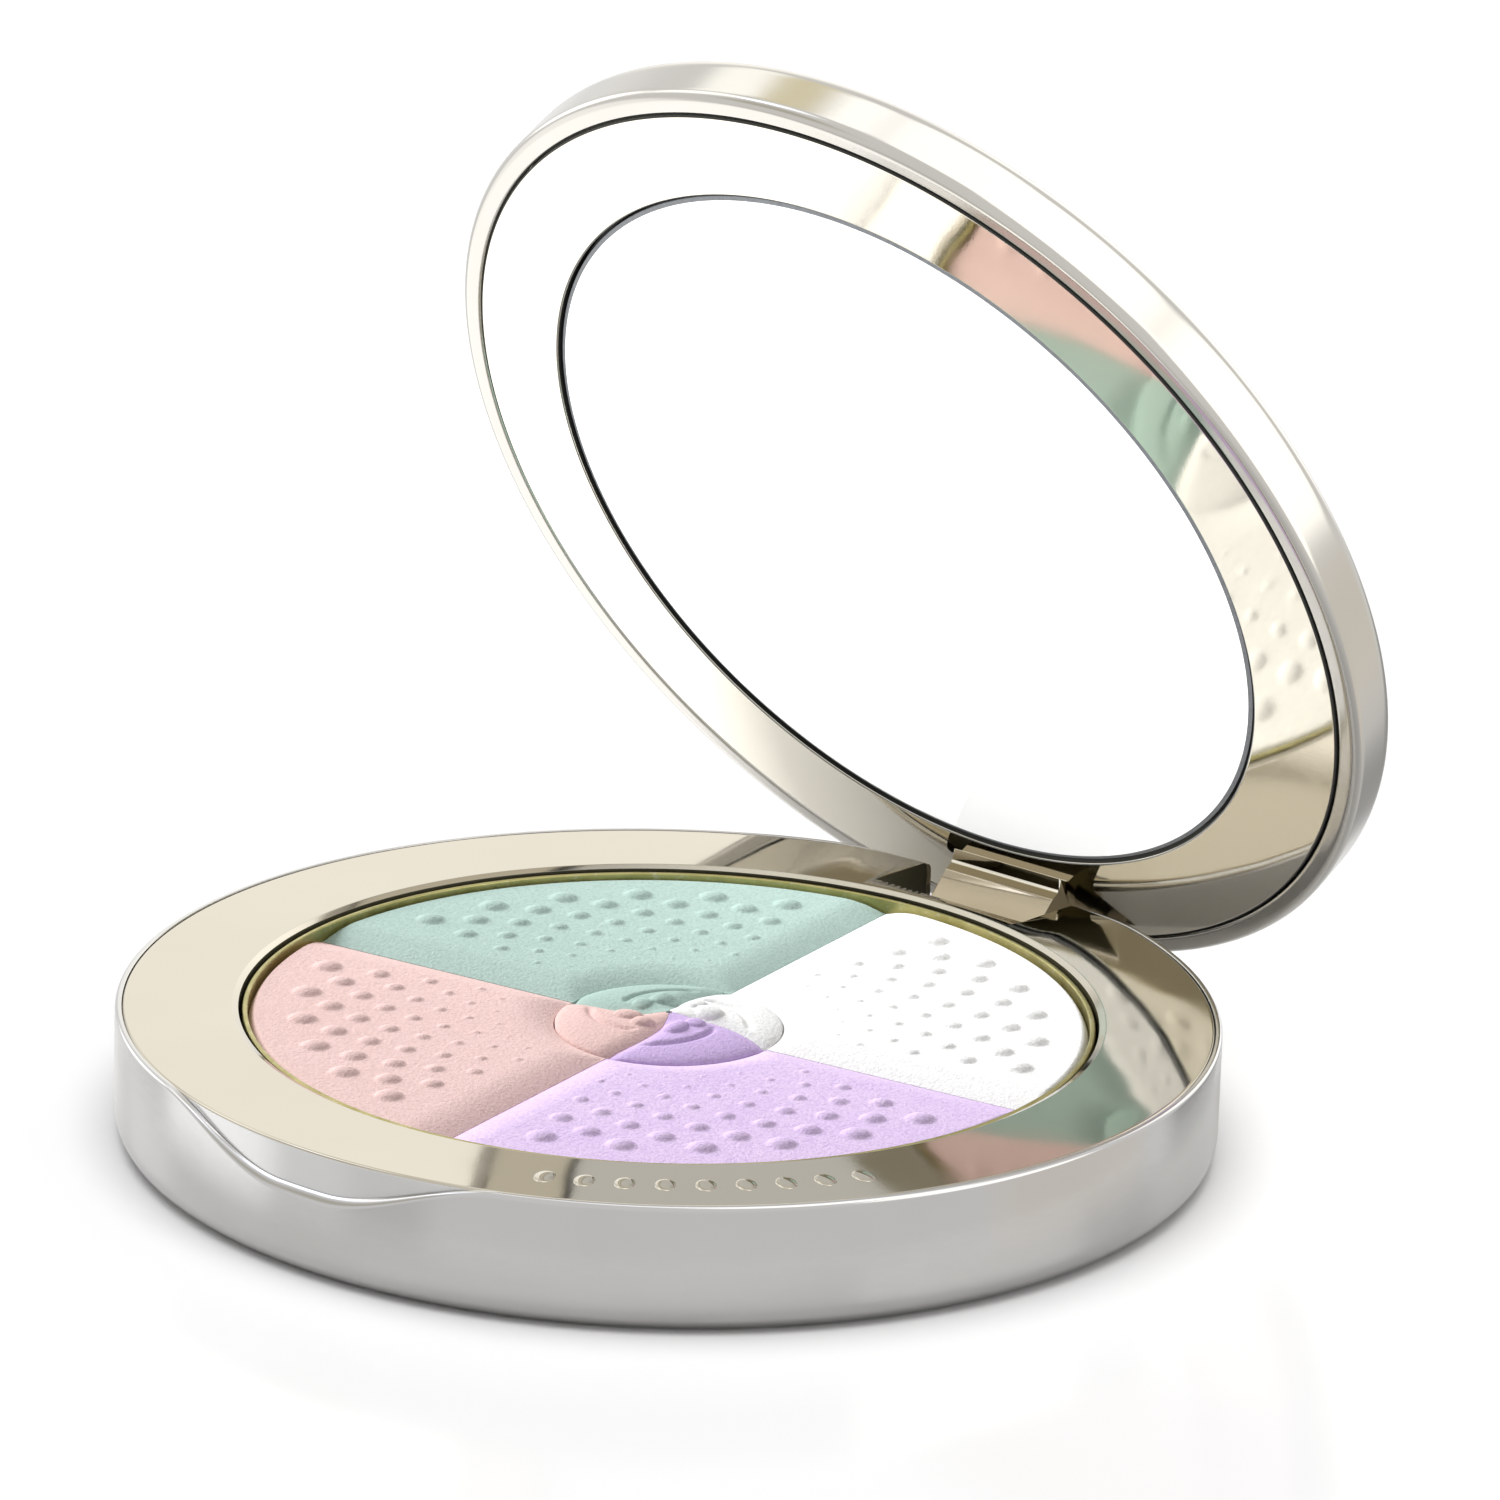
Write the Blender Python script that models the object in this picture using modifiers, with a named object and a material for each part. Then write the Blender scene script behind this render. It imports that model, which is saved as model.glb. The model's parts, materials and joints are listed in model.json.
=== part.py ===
"""Round mirror compact with four pressed powders, standing with its lid half open.

Frame: metres, +Z up. The origin is the centre of the flat underside, +Y points at the hinge
and -Y at the finger dip. Everything on the lid is drawn in its closed place, and one empty on
the hinge axis turns it to the resting angle.
"""

import math

import bmesh
import bpy

MM = 0.001

# Driving dimensions
BODY_R = 40.0 * MM  # outer radius of base and lid
BASE_H = 9.5 * MM  # top of the base ring
LID_GAP = 0.15 * MM  # between the base ring and the closed lid
LID_H = 5.3 * MM  # lid thickness at the crown of its dome
WALL = 0.95 * MM  # wall of both outer shells
FIT_GAP = 0.1 * MM  # between a shell and the frame glued into it
HINGE_Y = 36.8 * MM  # hinge axis
HINGE_Z = 4.3 * MM
REST_OPEN_DEG = 63.3  # lid angle from closed, as it stands

# Base shell
FLOOR = 1.0 * MM
FOOT_ROUND = 2.0 * MM
INNER_FOOT_ROUND = 1.2 * MM
RIM_ROUND = 0.45 * MM
LABEL_R = 27.0 * MM
LABEL_T = 0.3 * MM
LABEL_RECESS_R = LABEL_R + 0.1 * MM
LABEL_RECESS_T = LABEL_T + 0.05 * MM
DIP_DEPTH = 2.8 * MM
DIP_FLAT = 2.0 * MM  # half width of the dip's level middle
DIP_HALF = 15.5 * MM

# Tray
WELL_R = 31.1 * MM
TRAY_R = BODY_R - WALL - FIT_GAP
TRAY_WALL = 1.0 * MM
TRAY_TOP_T = 1.2 * MM
WELL_FLOOR_Z = 4.7 * MM
WELL_FLOOR_T = 0.8 * MM
TRAY_TOP_DROP = 0.05 * MM  # the ring lies this far under the shell's rim
TRAY_EDGE = 0.15 * MM  # chamfer of the ring's outer edge
WELL_LIP = 0.3 * MM  # chamfer of the ring's inner lip

# Hinge
SLOT_HALF = 7.0 * MM
SLOT_FRONT_Y = 32.9 * MM
SLOT_RAMP_RUN = 1.4 * MM
SLOT_RAMP_TOP = 0.03 * MM  # the ramp starts this far under the rim
SLOT_RAMP_FOOT = 0.45 * MM  # and ends this far under it
SHELL_SLOT_FLOOR_Z = 1.6 * MM
BOSS_HALF = 11.0 * MM
BOSS_BOTTOM_Z = FLOOR + 1.4 * MM
BOSS_TOP_Z = BASE_H - 0.6 * MM
LUG_HALF = 5.1 * MM
LUG_BACK_Y = 37.9 * MM
BARREL_R = 2.3 * MM
RIDGE_Y = 33.3 * MM  # bright front ridge of the lug
RIDGE_DROP = 0.55 * MM  # under the lid's face
PIN_R = 0.75 * MM
PIN_INNER_X = 1.2 * MM
PIN_OUTER_X = 9.4 * MM
SLEEVE_R = 1.3 * MM
SLEEVE_CLEAR = 0.03 * MM
PRESS_CLEAR = 0.02 * MM
SWING_R = 5.2 * MM  # the lid's face passes the base outside this radius
SWING_HALF = 16.0 * MM
SWING_FOOT_RISE = 0.4 * MM  # the relief ends this far above the axis

# Pan and powder
PAN_R = 30.45 * MM
PAN_WALL = 0.45 * MM
PAN_FLOOR = 0.4 * MM
PAN_CHAMFER = 0.5 * MM
PAN_PAD_R = 24.0 * MM
PAN_PAD_T = 0.3 * MM
PAN_BOTTOM_Z = 5.1 * MM
PAN_TOP_Z = 8.6 * MM
POWDER_R = 29.9 * MM
POWDER_BOTTOM_Z = 5.6 * MM
POWDER_TOP_Z = 8.75 * MM
VALLEY_DEPTH = 0.75 * MM
VALLEY_WIDTH = 2.6 * MM
QUARTER_TURN_DEG = 7.5  # the cross of the four powders, from +X
QUARTER_GAP = 0.05 * MM
LOBE_R = 8.3 * MM
LOBE_TIP_R = 0.3 * MM
LOBE_TOP_Z = 9.25 * MM

# Lid
DOME_FALL = 0.5 * MM  # the dome's edge lies this far under its crown
LID_CORNER_R = 1.1 * MM
LID_RIM_ROUND = 0.2 * MM
LIP_DEPTH = 1.0 * MM  # of the rolled lip that holds the frame
LIP_RAMP = 0.6 * MM
INNER_CORNER = 0.8 * MM
RIM_INNER_R = 38.2 * MM
FRAME_R = 38.1 * MM
FRAME_EDGE = 0.12 * MM
FRAME_BACK_T = 0.8 * MM
POCKET_SPARE = 0.3 * MM  # behind the mirror, for its pad
MIRROR_R = 30.9 * MM
MIRROR_POCKET_R = 31.0 * MM
MIRROR_T = 0.9 * MM
MIRROR_SINK = 0.2 * MM
MIRROR_BEVEL = 0.3 * MM
MIRROR_BEVEL_DROP = 0.12 * MM
MIRROR_PAD_R = 27.0 * MM
MIRROR_PAD_T = 0.2 * MM
PAD_GAP = 0.05 * MM

# Magnets
MAGNET_R = 2.0 * MM
MAGNET_T = 1.2 * MM
MAGNET_X = 9.0 * MM
MAGNET_RING_R = 35.0 * MM
MAGNET_COVER_T = 0.8 * MM  # of the frame's face over the lid's magnets
MAGNET_Y = -math.sqrt(MAGNET_RING_R**2 - MAGNET_X**2)

STEPS = 72  # round the large turned pieces

TRAY_TOP_Z = BASE_H - TRAY_TOP_DROP
VALLEY_Z = POWDER_TOP_Z - VALLEY_DEPTH
LID_FACE_Z = BASE_H + LID_GAP
LID_TOP_Z = LID_FACE_Z + LID_H
MIRROR_FACE_Z = LID_FACE_Z + MIRROR_SINK

COLOURS = {
    "satin_silver": ((0.72, 0.72, 0.73), 0.28, 1.0),
    "champagne": ((0.70, 0.66, 0.55), 0.10, 1.0),
    "pan_metal": ((0.55, 0.50, 0.28), 0.35, 1.0),
    "steel": ((0.60, 0.60, 0.60), 0.25, 1.0),
    "magnet": ((0.35, 0.35, 0.36), 0.30, 1.0),
    "mirror": ((0.95, 0.95, 0.96), 0.02, 1.0),
    "nylon": ((0.85, 0.84, 0.80), 0.50, 0.0),
    "adhesive": ((0.88, 0.86, 0.80), 0.70, 0.0),
    "label": ((0.90, 0.90, 0.88), 0.60, 0.0),
    "powder_mint": ((0.55, 0.73, 0.65), 0.95, 0.0),
    "powder_white": ((0.93, 0.93, 0.92), 0.95, 0.0),
    "powder_lilac": ((0.72, 0.60, 0.86), 0.95, 0.0),
    "powder_pink": ((0.84, 0.61, 0.56), 0.95, 0.0),
}

# Each powder and the middle of its quarter, from +X
QUARTERS = {
    "white": 45.0 + QUARTER_TURN_DEG,
    "mint": 135.0 + QUARTER_TURN_DEG,
    "pink": 225.0 + QUARTER_TURN_DEG,
    "lilac": 315.0 + QUARTER_TURN_DEG,
}


# Scene and materials


def clear_scene():
    for obj in list(bpy.data.objects):
        bpy.data.objects.remove(obj, do_unlink=True)


def new_collection(name):
    made = bpy.data.collections.new(name)
    bpy.context.scene.collection.children.link(made)
    return made


def material(name):
    found = bpy.data.materials.get(name)
    if found:
        return found
    colour, roughness, metallic = COLOURS[name]
    made = bpy.data.materials.new(name)
    made.use_nodes = True
    shader = made.node_tree.nodes["Principled BSDF"]
    shader.inputs["Base Color"].default_value = (*colour, 1.0)
    shader.inputs["Roughness"].default_value = roughness
    shader.inputs["Metallic"].default_value = metallic
    return made


def add_object(name, mesh, collection, finish=None):
    obj = bpy.data.objects.new(name, mesh)
    collection.objects.link(obj)
    if finish:
        mesh.materials.append(material(finish))
    return obj


def shade(obj):
    """Round faces smooth, real corners sharp."""
    obj.data.shade_smooth()
    obj.data.set_sharp_from_angle(angle=math.radians(35))


def as_cutter(obj):
    obj.hide_render = True
    obj.display_type = "WIRE"


# Shapes


def arc(centre, radius, start_deg, end_deg, count):
    """Points along an arc, both ends included."""
    points = []
    for i in range(count + 1):
        angle = math.radians(start_deg + (end_deg - start_deg) * i / count)
        points.append(
            (centre[0] + radius * math.cos(angle), centre[1] + radius * math.sin(angle))
        )
    return points


def turned(name, profile, collection, finish):
    """Turns (radius, height) points about Z: a profile from the axis out and back to it."""
    mesh = bpy.data.meshes.new(name)
    edges = [(i, i + 1) for i in range(len(profile) - 1)]
    mesh.from_pydata([(r, 0.0, z) for r, z in profile], edges, [])
    obj = add_object(name, mesh, collection, finish)
    screw = obj.modifiers.new("turn", "SCREW")
    screw.axis = "Z"
    screw.steps = STEPS
    screw.render_steps = STEPS
    screw.use_merge_vertices = True
    screw.merge_threshold = 0.00001
    return obj


def bar(name, radius, length, centre, collection, finish=None, along="X", sides=32):
    """A round bar, its axis along X or Z."""
    mesh = bpy.data.meshes.new(name)
    bm = bmesh.new()
    bmesh.ops.create_cone(
        bm, cap_ends=True, segments=sides, radius1=radius, radius2=radius, depth=length
    )
    bm.to_mesh(mesh)
    bm.free()
    obj = add_object(name, mesh, collection, finish)
    obj.location = centre
    if along == "X":
        obj.rotation_euler.y = math.pi / 2
    return obj


def block(name, low, high, collection):
    """A box between two corners."""
    mesh = bpy.data.meshes.new(name)
    bm = bmesh.new()
    bmesh.ops.create_cube(bm, size=1.0)
    for vert in bm.verts:
        for i in range(3):
            middle = (low[i] + high[i]) / 2
            vert.co[i] = middle + vert.co[i] * (high[i] - low[i])
    bm.to_mesh(mesh)
    bm.free()
    return add_object(name, mesh, collection)


def plate(name, outline, half_thickness, collection):
    """A flat outline in local XY, thickened both ways along local Z, as a mesh."""
    curve = bpy.data.curves.new(name, "CURVE")
    curve.dimensions = "2D"
    curve.fill_mode = "BOTH"
    curve.extrude = half_thickness
    spline = curve.splines.new("POLY")
    spline.points.add(len(outline) - 1)
    for point, (x, y) in zip(spline.points, outline):
        point.co = (x, y, 0.0, 1.0)
    spline.use_cyclic_u = True
    guide = bpy.data.objects.new(name + "_outline", curve)
    collection.objects.link(guide)
    bpy.context.view_layer.update()
    graph = bpy.context.evaluated_depsgraph_get()
    mesh = bpy.data.meshes.new_from_object(guide.evaluated_get(graph))
    bpy.data.objects.remove(guide, do_unlink=True)
    bm = bmesh.new()
    bm.from_mesh(mesh)
    bmesh.ops.remove_doubles(bm, verts=bm.verts, dist=0.000001)
    bmesh.ops.recalc_face_normals(bm, faces=bm.faces)
    bm.to_mesh(mesh)
    bm.free()
    mesh.name = name
    return add_object(name, mesh, collection)


def stand_across(obj):
    """Turns a plate's local X, Y, Z to world Y, Z, X."""
    obj.rotation_euler = (math.pi / 2, 0.0, math.pi / 2)
    return obj


def combine(obj, other, operation):
    boolean = obj.modifiers.new(operation.lower() + "_" + other.name, "BOOLEAN")
    boolean.operation = operation
    boolean.object = other
    boolean.solver = "EXACT"
    as_cutter(other)


def cut(obj, cutter):
    combine(obj, cutter, "DIFFERENCE")


def join(obj, other):
    combine(obj, other, "UNION")


# Cutters that more than one piece uses


def swing_cutter(collection):
    """Rear top corner of the base that lies in the lid's path: outside SWING_R of the hinge."""
    reach = 9.0 * MM
    last_deg = math.degrees(math.asin(SWING_FOOT_RISE / SWING_R))
    curve = arc((HINGE_Y, HINGE_Z), SWING_R, 90.0, last_deg, 10)
    low = (HINGE_Y + reach, curve[-1][1])
    top = (HINGE_Y + reach, HINGE_Z + reach)
    front = (HINGE_Y, HINGE_Z + reach)
    outline = curve + [low, top, front]
    return stand_across(plate("swing_cutter", outline, SWING_HALF, collection))


def slot_cutter(name, bottom_z, collection):
    """Room for the lid's lug, open at the rear, with a ramp down into it from the ring."""
    above = BASE_H + 5.0 * MM
    behind = BODY_R + 5.0 * MM
    ramp_top = (SLOT_FRONT_Y - SLOT_RAMP_RUN, BASE_H - SLOT_RAMP_TOP)
    ramp_foot = (SLOT_FRONT_Y, BASE_H - SLOT_RAMP_FOOT)
    outline = [
        (ramp_top[0], above),
        ramp_top,
        ramp_foot,
        (SLOT_FRONT_Y, bottom_z),
        (behind, bottom_z),
        (behind, above),
    ]
    return stand_across(plate(name, outline, SLOT_HALF, collection))


# Base


def dip_height(x):
    """Height lost by the base shell's front rim at x, for easy lifting of the lid."""
    along = (abs(x) - DIP_FLAT) / (DIP_HALF - DIP_FLAT)
    along = min(max(along, 0.0), 1.0)
    return DIP_DEPTH * (1.0 - along * along * (3.0 - 2.0 * along))


def dip_cutter(collection):
    """Everything above the dip's wave, in front of the tray."""
    count = 28
    wave = []
    for i in range(count + 1):
        x = -DIP_HALF + 2.0 * DIP_HALF * i / count
        wave.append((x, BASE_H - dip_height(x)))
    above = 4.0 * MM
    outline = wave + [(DIP_HALF, BASE_H + above), (-DIP_HALF, BASE_H + above)]
    cutter = plate("dip_cutter", outline, 5.0 * MM, collection)
    cutter.rotation_euler.x = math.pi / 2
    cutter.location.y = -BODY_R - 1.0 * MM
    return cutter


def base_shell_profile():
    """Inside from the middle of the floor up to the rim, then down the outer wall."""
    inner_r = BODY_R - WALL
    rim_centre = (BODY_R - RIM_ROUND, BASE_H - RIM_ROUND)
    rim = arc(rim_centre, RIM_ROUND, 90.0, 0.0, 3)
    foot = arc((BODY_R - FOOT_ROUND, FOOT_ROUND), FOOT_ROUND, 0.0, -90.0, 5)
    corner_centre = (inner_r - INNER_FOOT_ROUND, FLOOR + INNER_FOOT_ROUND)
    inner_foot = arc(corner_centre, INNER_FOOT_ROUND, -90.0, 0.0, 3)
    chamfer = 0.15 * MM
    rim_inner = [(inner_r, BASE_H - chamfer), (inner_r + chamfer, BASE_H)]
    underside = [
        (LABEL_RECESS_R, 0.0),
        (LABEL_RECESS_R, LABEL_RECESS_T),
        (0.0, LABEL_RECESS_T),
    ]
    return [(0.0, FLOOR)] + inner_foot + rim_inner + rim + foot + underside


def make_base_shell(parts, cutters, swing):
    shell = turned("base_shell", base_shell_profile(), parts, "satin_silver")
    cut(shell, dip_cutter(cutters))
    cut(shell, slot_cutter("shell_slot_cutter", SHELL_SLOT_FLOOR_Z, cutters))
    cut(shell, swing)
    return shell


def tray_profile():
    """Ring, well and skirts. It stands on the shell's floor."""
    foot_z = FLOOR + 0.05 * MM
    inner_skirt = WELL_R + TRAY_WALL
    plate_under = BASE_H - TRAY_TOP_T
    foot_clear = INNER_FOOT_ROUND + 0.1 * MM
    return [
        (0.0, WELL_FLOOR_Z),
        (WELL_R, WELL_FLOOR_Z),
        (WELL_R, TRAY_TOP_Z - WELL_LIP),
        (WELL_R + WELL_LIP, TRAY_TOP_Z),
        (TRAY_R - TRAY_EDGE, TRAY_TOP_Z),
        (TRAY_R, TRAY_TOP_Z - TRAY_EDGE),
        (TRAY_R, foot_z + foot_clear),
        (TRAY_R - TRAY_WALL, foot_z + foot_clear),
        (TRAY_R - TRAY_WALL, plate_under),
        (inner_skirt, plate_under),
        (inner_skirt, foot_z),
        (WELL_R, foot_z),
        (WELL_R, WELL_FLOOR_Z - WELL_FLOOR_T),
        (0.0, WELL_FLOOR_Z - WELL_FLOOR_T),
    ]


def tray_disc(collection):
    """A solid disc as wide as the tray, less a hair, to trim its bosses."""
    radius = TRAY_R - 0.02 * MM
    return bar("tray_disc", radius, BODY_R, (0, 0, 0), collection, None, "Z", STEPS)


def make_base_tray(parts, cutters, swing):
    """The tray, with the two bosses that hold the hinge pins beside its slot."""
    tray = turned("base_tray", tray_profile(), parts, "champagne")
    low = (-BOSS_HALF, WELL_R + TRAY_WALL / 2, BOSS_BOTTOM_Z)
    boss = block("hinge_boss", low, (BOSS_HALF, BODY_R, BOSS_TOP_Z), cutters)
    combine(boss, tray_disc(cutters), "INTERSECT")
    join(tray, boss)
    cut(tray, slot_cutter("tray_slot_cutter", 0.0, cutters))
    cut(tray, swing)
    axis = (0.0, HINGE_Y, HINGE_Z)
    cut(tray, bar("pin_bore", PIN_R + PRESS_CLEAR, 2.0 * PIN_OUTER_X, axis, cutters))
    return tray


def make_hinge_pins(parts):
    length = PIN_OUTER_X - PIN_INNER_X - 0.05 * MM
    middle = PIN_INNER_X + length / 2
    for side, sign in (("left", -1), ("right", 1)):
        centre = (sign * middle, HINGE_Y, HINGE_Z)
        pin = bar("hinge_pin_" + side, PIN_R, length, centre, parts, "steel")
        shade(pin)


def make_base_magnets(parts):
    top = BASE_H - TRAY_TOP_T - 0.05 * MM
    for side, sign in (("left", -1), ("right", 1)):
        centre = (sign * MAGNET_X, MAGNET_Y, top - MAGNET_T / 2)
        name = "base_magnet_" + side
        shade(bar(name, MAGNET_R, MAGNET_T, centre, parts, "magnet", along="Z"))


def make_base_label(parts):
    centre = (0.0, 0.0, LABEL_T / 2)
    shade(bar("base_label", LABEL_R, LABEL_T, centre, parts, "label", "Z", 64))


# Pan and powder


def make_pan(parts):
    inner_r = PAN_R - PAN_WALL
    profile = [
        (0.0, PAN_BOTTOM_Z + PAN_FLOOR),
        (inner_r, PAN_BOTTOM_Z + PAN_FLOOR),
        (inner_r, PAN_TOP_Z),
        (PAN_R, PAN_TOP_Z),
        (PAN_R, PAN_BOTTOM_Z + PAN_CHAMFER),
        (PAN_R - PAN_CHAMFER, PAN_BOTTOM_Z),
        (0.0, PAN_BOTTOM_Z),
    ]
    return turned("powder_pan", profile, parts, "pan_metal")


def make_pan_adhesive(parts):
    centre = (0.0, 0.0, WELL_FLOOR_Z + PAD_GAP + PAN_PAD_T / 2)
    pad = bar("pan_adhesive", PAN_PAD_R, PAN_PAD_T, centre, parts, "adhesive", "Z", 48)
    shade(pad)


def smooth_step(value):
    value = min(max(value, 0.0), 1.0)
    return value * value * (3.0 - 2.0 * value)


def powder_height(radius, half_angle):
    """Top of one quarter: a flat that rolls down to its four borders."""
    to_side = radius * math.sin(half_angle)
    to_border = min(to_side, radius - LOBE_R, POWDER_R - radius)
    return POWDER_TOP_Z - VALLEY_DEPTH * (1.0 - smooth_step(to_border / VALLEY_WIDTH))


def make_quarter(name, middle_deg, parts):
    """One pressed quarter round the centre relief: its top is a grid over radius and angle."""
    rings = [0.0, 0.04, 0.1, 0.5, 0.9, 0.96, 1.0]
    sweep = [-1.0, -0.9, -0.8, -0.5, -0.2, 0.2, 0.5, 0.8, 0.9, 1.0]
    inner_r = LOBE_R + QUARTER_GAP
    bm = bmesh.new()
    top, bottom = [], []
    for part in rings:
        radius = inner_r + (POWDER_R - inner_r) * part
        half_span = math.pi / 4 - QUARTER_GAP / radius
        top_row, bottom_row = [], []
        for turn in sweep:
            angle = math.radians(middle_deg) + turn * half_span
            x, y = radius * math.cos(angle), radius * math.sin(angle)
            z = powder_height(radius, half_span * (1.0 - abs(turn)))
            top_row.append(bm.verts.new((x, y, z)))
            bottom_row.append(bm.verts.new((x, y, POWDER_BOTTOM_Z)))
        top.append(top_row)
        bottom.append(bottom_row)
    close_grid(bm, top, bottom)
    mesh = bpy.data.meshes.new(name)
    bm.to_mesh(mesh)
    bm.free()
    return add_object(name, mesh, parts, name)


def close_grid(bm, top, bottom):
    """Faces over two matching grids and round their border."""
    rows, columns = len(top), len(top[0])
    for i in range(rows - 1):
        for j in range(columns - 1):
            a, b = top[i][j], top[i + 1][j]
            c, d = top[i + 1][j + 1], top[i][j + 1]
            bm.faces.new((a, b, c, d))
            a, b = bottom[i][j], bottom[i + 1][j]
            c, d = bottom[i + 1][j + 1], bottom[i][j + 1]
            bm.faces.new((d, c, b, a))
    border = [(i, 0) for i in range(rows)]
    border += [(rows - 1, j) for j in range(1, columns)]
    border += [(i, columns - 1) for i in range(rows - 2, -1, -1)]
    border += [(0, j) for j in range(columns - 2, 0, -1)]
    for (i, j), (k, l) in zip(border, border[1:] + border[:1]):
        bm.faces.new((top[i][j], bottom[i][j], bottom[k][l], top[k][l]))
    bmesh.ops.recalc_face_normals(bm, faces=bm.faces)


def make_lobe(powder, middle_deg, parts):
    """One domed quarter of the centre relief."""
    name = "centre_lobe_" + powder
    outer = LOBE_R - QUARTER_GAP
    bm = bmesh.new()
    top, bottom = [], []
    for part in (0.0, 0.25, 0.5, 0.75, 0.92, 1.0):
        radius = LOBE_TIP_R + (outer - LOBE_TIP_R) * part
        half_span = math.pi / 4 - QUARTER_GAP / radius
        z = VALLEY_Z + (LOBE_TOP_Z - VALLEY_Z) * math.sqrt(max(1.0 - part**2, 0.0))
        top_row, bottom_row = [], []
        for turn in (-1.0, -0.6, -0.2, 0.2, 0.6, 1.0):
            angle = math.radians(middle_deg) + turn * half_span
            x, y = radius * math.cos(angle), radius * math.sin(angle)
            top_row.append(bm.verts.new((x, y, z)))
            bottom_row.append(bm.verts.new((x, y, POWDER_BOTTOM_Z)))
        top.append(top_row)
        bottom.append(bottom_row)
    close_grid(bm, top, bottom)
    mesh = bpy.data.meshes.new(name)
    bm.to_mesh(mesh)
    bm.free()
    return add_object(name, mesh, parts, "powder_" + powder)


# Lid, drawn closed


def lid_shell_profile():
    """Dome, side wall and rolled rim outside, then the inside back to the axis."""
    inner_r = BODY_R - WALL
    corner_centre = (BODY_R - LID_CORNER_R, LID_TOP_Z - DOME_FALL - LID_CORNER_R)
    dome = dome_points(BODY_R - LID_CORNER_R, LID_TOP_Z)
    outer = arc(corner_centre, LID_CORNER_R, 90.0, 0.0, 4)
    rim = [
        (BODY_R, LID_FACE_Z + LID_RIM_ROUND),
        (BODY_R - LID_RIM_ROUND, LID_FACE_Z),
        (RIM_INNER_R + LID_RIM_ROUND / 2, LID_FACE_Z),
        (RIM_INNER_R, LID_FACE_Z + LID_RIM_ROUND / 2),
        (RIM_INNER_R, LID_FACE_Z + LIP_DEPTH),
        (inner_r, LID_FACE_Z + LIP_DEPTH + LIP_RAMP),
    ]
    inside = dome_points(inner_r - INNER_CORNER, LID_TOP_Z - WALL)
    inner_corner = (inner_r, inside[-1][1] - INNER_CORNER)
    return dome + outer[1:] + rim + [inner_corner] + inside[::-1]


def dome_points(edge_r, crown_z):
    """The lid's shallow dome, from the axis to edge_r."""
    count = 5
    return [
        (edge_r * i / count, crown_z - DOME_FALL * (i / count) ** 2)
        for i in range(count + 1)
    ]


def make_lid_shell(parts, cutters):
    """The lid's shell, its rolled lip notched where the lug passes."""
    shell = turned("lid_shell", lid_shell_profile(), parts, "satin_silver")
    half = LUG_HALF + 0.2 * MM
    notch_front_y = HINGE_Y - 0.8 * MM
    notch_back_y = LUG_BACK_Y + 0.85 * MM
    low = (-half, notch_front_y, LID_FACE_Z - 1.0 * MM)
    high = (half, notch_back_y, LID_FACE_Z + LIP_DEPTH + 0.8 * MM)
    cut(shell, block("lug_room", low, high, cutters))
    return shell


def frame_profile():
    """Ring with the mirror's pocket open towards the base, and its back plate."""
    edge = FRAME_EDGE
    face = LID_FACE_Z
    pocket_z = MIRROR_FACE_Z + MIRROR_T + POCKET_SPARE
    back_z = pocket_z + FRAME_BACK_T
    return [
        (0.0, back_z),
        (FRAME_R, back_z),
        (FRAME_R, face + edge),
        (FRAME_R - edge, face),
        (MIRROR_POCKET_R + edge, face),
        (MIRROR_POCKET_R, face + edge),
        (MIRROR_POCKET_R, pocket_z),
        (0.0, pocket_z),
    ]


def lug_outline():
    """Hinge lug seen from the side, as (y, z): ramp and ridge, front face, barrel, back."""
    inside_z = LID_FACE_Z + 0.8 * MM
    ramp_y = RIDGE_Y - 1.7 * MM
    ridge_z = LID_FACE_Z - RIDGE_DROP
    front = [
        (ramp_y, inside_z),
        (ramp_y, LID_FACE_Z - 0.02 * MM),
        (RIDGE_Y, ridge_z),
        (RIDGE_Y + 0.05 * MM, ridge_z - 0.85 * MM),
    ]
    barrel = arc((HINGE_Y, HINGE_Z), BARREL_R, 165.0, 375.0, 14)
    back = [(LUG_BACK_Y, LID_FACE_Z - 1.2 * MM), (LUG_BACK_Y, inside_z)]
    return front + barrel + back


def make_mirror_frame(parts, cutters):
    """The frame and its hinge lug, bored for the sleeves and pocketed for the magnets."""
    frame = turned("mirror_frame", frame_profile(), parts, "champagne")
    lug = plate("hinge_lug", lug_outline(), LUG_HALF, cutters)
    join(frame, stand_across(lug))
    bore_r = SLEEVE_R + PRESS_CLEAR
    bore_length = LUG_HALF - PIN_INNER_X + 1.0 * MM
    pocket_r = MAGNET_R + 0.05 * MM
    pocket_length = 3.0 * MM
    pocket_z = LID_FACE_Z + MAGNET_COVER_T + pocket_length / 2
    for side, sign in (("left", -1), ("right", 1)):
        centre = (sign * (PIN_INNER_X + bore_length / 2), HINGE_Y, HINGE_Z)
        cut(frame, bar("sleeve_bore_" + side, bore_r, bore_length, centre, cutters))
        centre = (sign * MAGNET_X, MAGNET_Y, pocket_z)
        name = "magnet_pocket_" + side
        cut(frame, bar(name, pocket_r, pocket_length, centre, cutters, along="Z"))
    return frame


def make_sleeves(parts, cutters):
    """Friction sleeves: pressed into the lug, running on the pins."""
    length = LUG_HALF - PIN_INNER_X - 0.1 * MM
    for side, sign in (("left", -1), ("right", 1)):
        centre = (sign * (PIN_INNER_X + 0.05 * MM + length / 2), HINGE_Y, HINGE_Z)
        name = "hinge_sleeve_" + side
        sleeve = bar(name, SLEEVE_R, length, centre, parts, "nylon")
        bore_r = PIN_R + SLEEVE_CLEAR
        cut(sleeve, bar(name + "_bore", bore_r, 2.0 * length, centre, cutters))
        shade(sleeve)


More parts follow.
